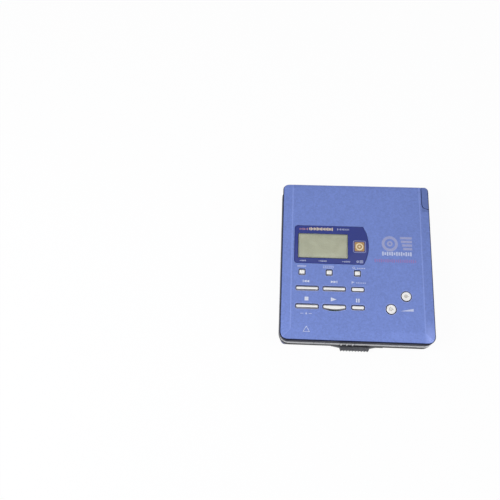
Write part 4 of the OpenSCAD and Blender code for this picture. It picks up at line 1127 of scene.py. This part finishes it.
def makeWindowPrints():
    z, w = lid["top"] - 0.025, windowPrints
    x, y, size = lidPrints["emblem"]
    flatMark("emblemFrame", [frameRing(x, y, size, size, 0.9, 0.24)], z, "lilac", "lid", 0.02)
    flatMark("emblemField", [roundedOutline(x, y, size - 1.5, size - 1.5, 0.5)], z, "gold", "lid",
             0.012)
    flatMark("emblemDisc", [ring(x, y, 2.0, 1.3), circle(x, y, 0.55)], z, "cream", "lid", 0.022)
    flatMark("levelBars", row(*w["levelBars"]), z, "cream", "lid", 0.02)
    flatMark("levelLine", row(*w["levelLine"]), z, "rose", "lid", 0.02)
    scale = row(*w["topScale"])
    for x0, count in w["lowScales"]:
        scale += [bar(x0, w["lowY"], 0.7, 0.22)]
        scale += [ring(x0 + 0.95 + 0.85 * i, w["lowY"], 0.36, 0.2, 14) for i in range(count)]
    scale += [ring(w["dotX"], w["dotY"], 0.62, 0.4), circle(w["dotX"], w["dotY"], 0.2, 12)]
    scale += [bar(w["linesX"], w["dotY"] + shift, 1.9, 0.24) for shift in (0.0, -0.55, 0.55)]
    flatMark("windowScale", scale, z, "pale", "lid", 0.02)


def makeVolumePrints():
    signs = {   # bars from the middle of the round key: place, width and depth
        "plus": ("volume_up_button", [(-0.25, 0, 0.3, 0.2), (0.25, 0, 0.3, 0.2), (0, 0, 0.2, 0.8)]),
        "minus": ("volume_down_button", [(0, 0, 0.8, 0.2)]),
    }
    for (name, (node, bars)), (x, y) in zip(signs.items(), keys["volume"]):
        marks = [ring(x - 0.3, y, 0.85, 0.66)]
        marks += [bar(x - 0.3 + dx, y + dy, w, h) for dx, dy, w, h in bars]
        marks += [bar(x + 1.0, y, 0.5, 0.2)]
        flatMark(name + "Sign", marks, surfaceOf(node), "grey", nodes[node]["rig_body"], 0.03)


# What repeats is made by geometry nodes

def startShapeTree(name, inputs):
    tree = bpy.data.node_groups.new(name, "GeometryNodeTree")
    ids = {}
    for label, kind in {"Geometry": "Geometry", **inputs}.items():
        socket = tree.interface.new_socket(label, in_out="INPUT", socket_type="NodeSocket" + kind)
        ids[label] = socket.identifier
    tree.interface.new_socket("Geometry", in_out="OUTPUT", socket_type="NodeSocketGeometry")
    return tree, put(tree, "NodeGroupInput").outputs, ids


def endShapeTree(tree, shape, slot):
    real = put(tree, "GeometryNodeRealizeInstances", {0: shape}).outputs[0]
    painted = put(tree, "GeometryNodeSetMaterial", {"Geometry": real, "Material": materials[slot]})
    put(tree, "NodeGroupOutput", {0: painted.outputs[0]})


def onPoints(tree, points, shape, inputs={}):
    return put(tree, "GeometryNodeInstanceOnPoints",
               {"Points": points, "Instance": shape, **inputs}).outputs[0]


def grown(name, tree, ids, values, slot, points=((0, 0, 0),)):
    mesh = bpy.data.meshes.new(name)
    mesh.from_pydata([atMm(*p) for p in points], [], [])
    obj = addObject(name, mesh)
    modifier = obj.modifiers.new(name, "NODES")
    modifier.node_group = tree
    for label, value in values.items():
        modifier[ids[label]] = value
    settle(obj)
    if not obj.data.materials:
        obj.data.materials.append(materials[slot])
    return obj


# Grip that opens the lid

grip = {
    "x": 0.0,
    "length": 15.2,
    "inset": 0.05,
    "wedge": 3.8,
    "wedgeOut": 0.7,
    "out": 2.2,
    "face": -42.5,
    "low": 2.6,
    "high": 6.0,
    "ribs": 10,
    "ribRadius": 0.34,
    "ribMargin": 0.7,
    "bevel": 0.3,
    "stem": 5.0,
    "stemHeight": 1.2,
    "stemIn": -40.3,
}


def ribTree():
    tree, given, ids = startShapeTree("gripRibs", {
        "Count": "Int", "Start": "Vector", "Step": "Vector", "Radius": "Float",
        "Length": "Float"})
    rib = put(tree, "GeometryNodeMeshCylinder", {"Vertices": 14, "Radius": given["Radius"],
                                                "Depth": given["Length"]}).outputs["Mesh"]
    spots = put(tree, "GeometryNodeMeshLine", {"Count": given["Count"], "Offset": given["Step"],
                                              "Start Location": given["Start"]}).outputs["Mesh"]
    endShapeTree(tree, onPoints(tree, spots, rib), "slider_grey")
    return tree, ids


def makeGrip():
    g, face = grip["length"] / 2, grip["face"] + grip["inset"]
    front = grip["face"] - grip["out"] + grip["ribRadius"] * 0.6
    shoulder = grip["face"] - grip["wedgeOut"]
    plan = [(grip["x"] + s * x, y) for s, corners in ((-1, 1), (1, -1)) for x, y in
            [(g + grip["wedge"], face), (g, shoulder), (g - 0.3, front)][::corners]]
    body = lofted("openGrip", "slider_grey", prism(plan, grip["low"], grip["high"]))
    bevel = body.modifiers.new("bevel", "BEVEL")
    bevel.width, bevel.segments = grip["bevel"] * mm, 3
    bevel.limit_method = "ANGLE"
    settle(body)
    ridesOn(body, "opener", ["open_slider"])
    middle, half = (grip["low"] + grip["high"]) / 2, grip["stemHeight"] / 2
    stem = bar(grip["x"], (face + grip["stemIn"]) / 2, grip["stem"], grip["stemIn"] - face)
    stem = lofted("gripStem", "slider_grey", prism(stem, middle - half, middle + half))
    ridesOn(stem, "opener")
    tree, ids = ribTree()
    step = grip["length"] / grip["ribs"]
    ribs = grown("gripRibs", tree, ids, {
        "Count": grip["ribs"], "Radius": grip["ribRadius"] * mm,
        "Length": (grip["high"] - grip["low"] - grip["ribMargin"]) * mm,
        "Start": atMm(grip["x"] - g + step / 2, front, middle), "Step": atMm(step, 0, 0)},
        "slider_grey")
    ridesOn(ribs, "opener")


# Screws in the bottom

screws = {
    "places": ((-33.3, -36.8), (33.3, -37.2), (-33.3, 26.6), (31.3, 19.3)),
    "headRadius": 1.55,
    "low": 0.2,
    "headTop": 0.9,
    "shankRadius": 0.78,
    "shankTop": 3.25,
    "slot": 0.42,
    "slotLength": 1.9,
    "turn": 0.7,
}


def screwModel():
    r, s = screws["headRadius"], screws["shankRadius"]
    profile = [(0.02, screws["low"]), (r - 0.55, screws["low"]), (r - 0.2, screws["low"] + 0.1),
               (r, screws["low"] + 0.35), (r, screws["headTop"]), (s, screws["headTop"]),
               (s, screws["shankTop"] - 0.4), (s * 0.4, screws["shankTop"])]
    screw = lofted("screwModel", "screw_steel",
                   [[(x, y, z) for x, y in circle(0, 0, q, 32)] for q, z in profile])
    half, long = screws["slot"] / 2, screws["slotLength"] / 2
    cross = [(half, half), (half, long), (-half, long), (-half, half), (-long, half),
             (-long, -half), (-half, -half), (-half, -long), (half, -long), (half, -half),
             (long, -half), (long, half)]
    cutter = [[(x * k, y * k, z) for x, y in cross]
              for k, z in ((1.05, -0.2), (1.0, screws["low"]), (0.55, screws["low"] + 0.5))]
    return carve(screw, lofted("crossCutter", "screw_steel", cutter))


def makeScrews():
    model = screwModel()
    tree, given, ids = startShapeTree("screwSet", {"Screw": "Object", "Turn": "Float"})
    source = put(tree, "GeometryNodeObjectInfo", {"Object": given["Screw"]})
    index = put(tree, "GeometryNodeInputIndex").outputs[0]
    angle = put(tree, "ShaderNodeCombineXYZ", {"Z": times(tree, index, given["Turn"])}).outputs[0]
    rotation = put(tree, "FunctionNodeEulerToRotation", {0: angle}).outputs[0]
    endShapeTree(tree, onPoints(tree, given["Geometry"], source.outputs["Geometry"],
                                {"Rotation": rotation}), "screw_steel")
    made = grown("bottomScrews", tree, ids, {"Screw": model, "Turn": screws["turn"]},
                 "screw_steel",
                 [(x, y, 0) for x, y in screws["places"]])
    bpy.data.objects.remove(model)
    ridesOn(made, "base", ["bottom_screws"])


# Lead screw: a thread wound along its core

thread = {"y": 10.8, "z": 6.0, "core": 0.78, "outer": 1.0, "ridge": 0.2, "pitch": 2.0,
          "end": 0.5, "endLength": (3.2, 1.3), "overlap": 0.1}


def makeLeadScrew():
    low, high = [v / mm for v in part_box("lead_screw")]
    start, stop = low.x + thread["endLength"][0], high.x - thread["endLength"][1]
    length = stop - start
    tree, given, ids = startShapeTree("threadWinding", {
        "Turns": "Float", "Path Radius": "Float", "Length": "Float", "Ridge": "Float",
        "Core": "Float"})
    path = put(tree, "GeometryNodeCurveSpiral", {
        "Resolution": 20, "Rotations": given["Turns"], "Start Radius": given["Path Radius"],
        "End Radius": given["Path Radius"], "Height": given["Length"]}).outputs[0]
    tip = put(tree, "GeometryNodeCurvePrimitiveCircle", {"Resolution": 6, "Radius": given["Ridge"]})
    winding = put(tree, "GeometryNodeCurveToMesh", {"Curve": path, "Profile Curve": tip.outputs[0],
                                                   "Fill Caps": True}).outputs[0]
    core = put(tree, "GeometryNodeMeshCylinder", {"Vertices": 28, "Radius": given["Core"],
                                                 "Depth": given["Length"]}).outputs["Mesh"]
    halfWay = times(tree, given["Length"], 0.5)
    lift = put(tree, "ShaderNodeCombineXYZ", {"Z": halfWay}).outputs[0]
    core = put(tree, "GeometryNodeTransform", {"Geometry": core, "Translation": lift}).outputs[0]
    join = put(tree, "GeometryNodeJoinGeometry")
    for shape in (winding, core):
        tree.links.new(shape, join.inputs[0])
    endShapeTree(tree, join.outputs[0], "screw_brass")
    made = grown("leadScrew", tree, ids, {
        "Turns": length / thread["pitch"], "Path Radius": (thread["outer"] - thread["ridge"]) * mm,
        "Length": length * mm, "Ridge": thread["ridge"] * mm, "Core": thread["core"] * mm},
        "screw_brass")
    made.data.transform(Matrix.Translation(atMm(start, thread["y"], thread["z"]))
                        @ Matrix.Rotation(math.radians(90), 4, "Y"))
    ridesOn(made, "screw", ["lead_screw"])
    ends = circle(thread["y"], thread["z"], thread["end"], 20)
    stubs = [[[(x, y, z) for y, z in ends] for x in pair]
             for pair in ((low.x, start + thread["overlap"]), (stop - thread["overlap"], high.x))]
    ridesOn(lofted("leadScrewEnds", "screw_brass", *stubs), "screw")


# Legs along the chips of the main board

chipLegs = {"pitch": 0.8, "first": 0.8, "wide": 0.32, "reach": 0.55, "thick": 0.12,
            "middle": 2.48, "under": 0.1,
            "chips": ((-10, -27, 10, 10), (2, -27, 8, 14), (18, -29, 9, 9), (-15, 3, 8, 8))}


def makeChipLegs():
    c = chipLegs
    tree, given, ids = startShapeTree("chipLegs", {"Size": "Vector"})
    leg = put(tree, "GeometryNodeMeshCube", {"Size": given["Size"]}).outputs["Mesh"]
    endShapeTree(tree, onPoints(tree, given["Geometry"], leg), "bright_steel")
    spots = [(x - w / 2 + c["first"] + i * c["pitch"], y + s * (d + c["reach"]) / 2, c["middle"])
             for x, y, w, d in c["chips"] for i in range(int((w - 1) / c["pitch"]))
             for s in (-1, 1)]
    size = atMm(c["wide"], c["reach"] + c["under"], c["thick"])
    made = grown("chipLegs", tree, ids, {"Size": size}, "bright_steel", spots)
    ridesOn(made, "base")


# Floor, light and background

studio = {"floor": 4.0, "tone": (150, 150, 154), "above": 0.38, "horizon": 0.24, "shown": 0.86,
          "glow": 1.11, "gap": 0.05}


def seenDirectly(tree):   # by the camera, through glass or in a gloss
    rays = put(tree, "ShaderNodeLightPath").outputs
    seen = sums(tree, "MAXIMUM", rays["Is Camera Ray"], rays["Is Transmission Ray"])
    return sums(tree, "MAXIMUM", seen, rays["Is Glossy Ray"])


def makeStudio():
    mesh = bpy.data.meshes.new("floor")
    s = studio["floor"] / 2
    mesh.from_pydata([(-s, -s, 0), (s, -s, 0), (s, s, 0), (-s, s, 0)], [], [(0, 1, 2, 3)])
    mesh.transform(Matrix.Translation(atMm(0, 0, -studio["gap"])))
    floor = addObject("floor", mesh)
    material, tree, shader = startMaterial("floor_white")
    feed(shader, {"Base Color": srgb(*studio["tone"]), "Roughness": 0.9,
                  "Specular IOR Level": 0.0})
    glow = put(tree, "ShaderNodeEmission", {"Color": (1, 1, 1, 1), "Strength": studio["glow"]})
    both = put(tree, "ShaderNodeMixShader", {0: times(tree, seenDirectly(tree), studio["shown"]),
                                            1: shader.outputs[0], 2: glow.outputs[0]})
    side = put(tree, "ShaderNodeNewGeometry").outputs["Backfacing"]   # see-through from below
    clear = put(tree, "ShaderNodeBsdfTransparent")
    whole = put(tree, "ShaderNodeMixShader", {0: side, 1: both.outputs[0], 2: clear.outputs[0]})
    feed(tree.nodes["Material Output"], {"Surface": whole.outputs[0]})
    mesh.materials.append(material)
    world = bpy.data.worlds.new("studio")
    world.use_nodes = True
    bpy.context.scene.world = world
    tree = world.node_tree
    around = put(tree, "ShaderNodeTexCoord").outputs["Generated"]
    way = put(tree, "ShaderNodeSeparateXYZ", {0: around})
    sky = spread(tree, way.outputs[2], 0.0, 0.8, studio["horizon"], studio["above"])
    feed(tree.nodes["Background"], {"Color": (1, 1, 1, 1), "Strength": sums(
        tree, "MAXIMUM", seenDirectly(tree), sky)})


lamps = {
    "above": {"place": (60, 0, 480), "size": 320, "power": 0.15},
    "right": {"place": (210, -90, 400), "size": 120, "power": 0.32},
    "left": {"place": (-310, -120, 330), "size": 220, "power": 0.98},
}


def makeLamp(name, values):
    data = bpy.data.lights.new(name, "AREA")
    data.energy = values["power"]
    data.size = values["size"] * mm
    lamp = addObject(name, data)
    lamp.location = atMm(*values["place"])
    lamp.rotation_euler = (-lamp.location).to_track_quat("-Z", "Y").to_euler()


makeCamera()
makeStudio()
for lampName, lampValues in lamps.items():
    makeLamp(lampName, lampValues)
bpy.context.scene.view_settings.view_transform = "Standard"
print("camera, floor and lights made")

makeLid()
makeWindow()
for nodeName, values in longKeys.items():
    makeLongKey(nodeName, *values)
for nodeName, squarePlace in zip(squareKeys, keys["squareX"]):
    makeSquareKey(nodeName, squarePlace)
for nodeName, bevelWidth in softened.items():
    softCopy(nodeName, bevelWidth)
makeLidPrints()
makeWindowPrints()
makeVolumePrints()
print("lid, window, keys and marks made")

makeGrip()
makeScrews()
makeLeadScrew()
makeChipLegs()
print("grip, screws and drive details made")
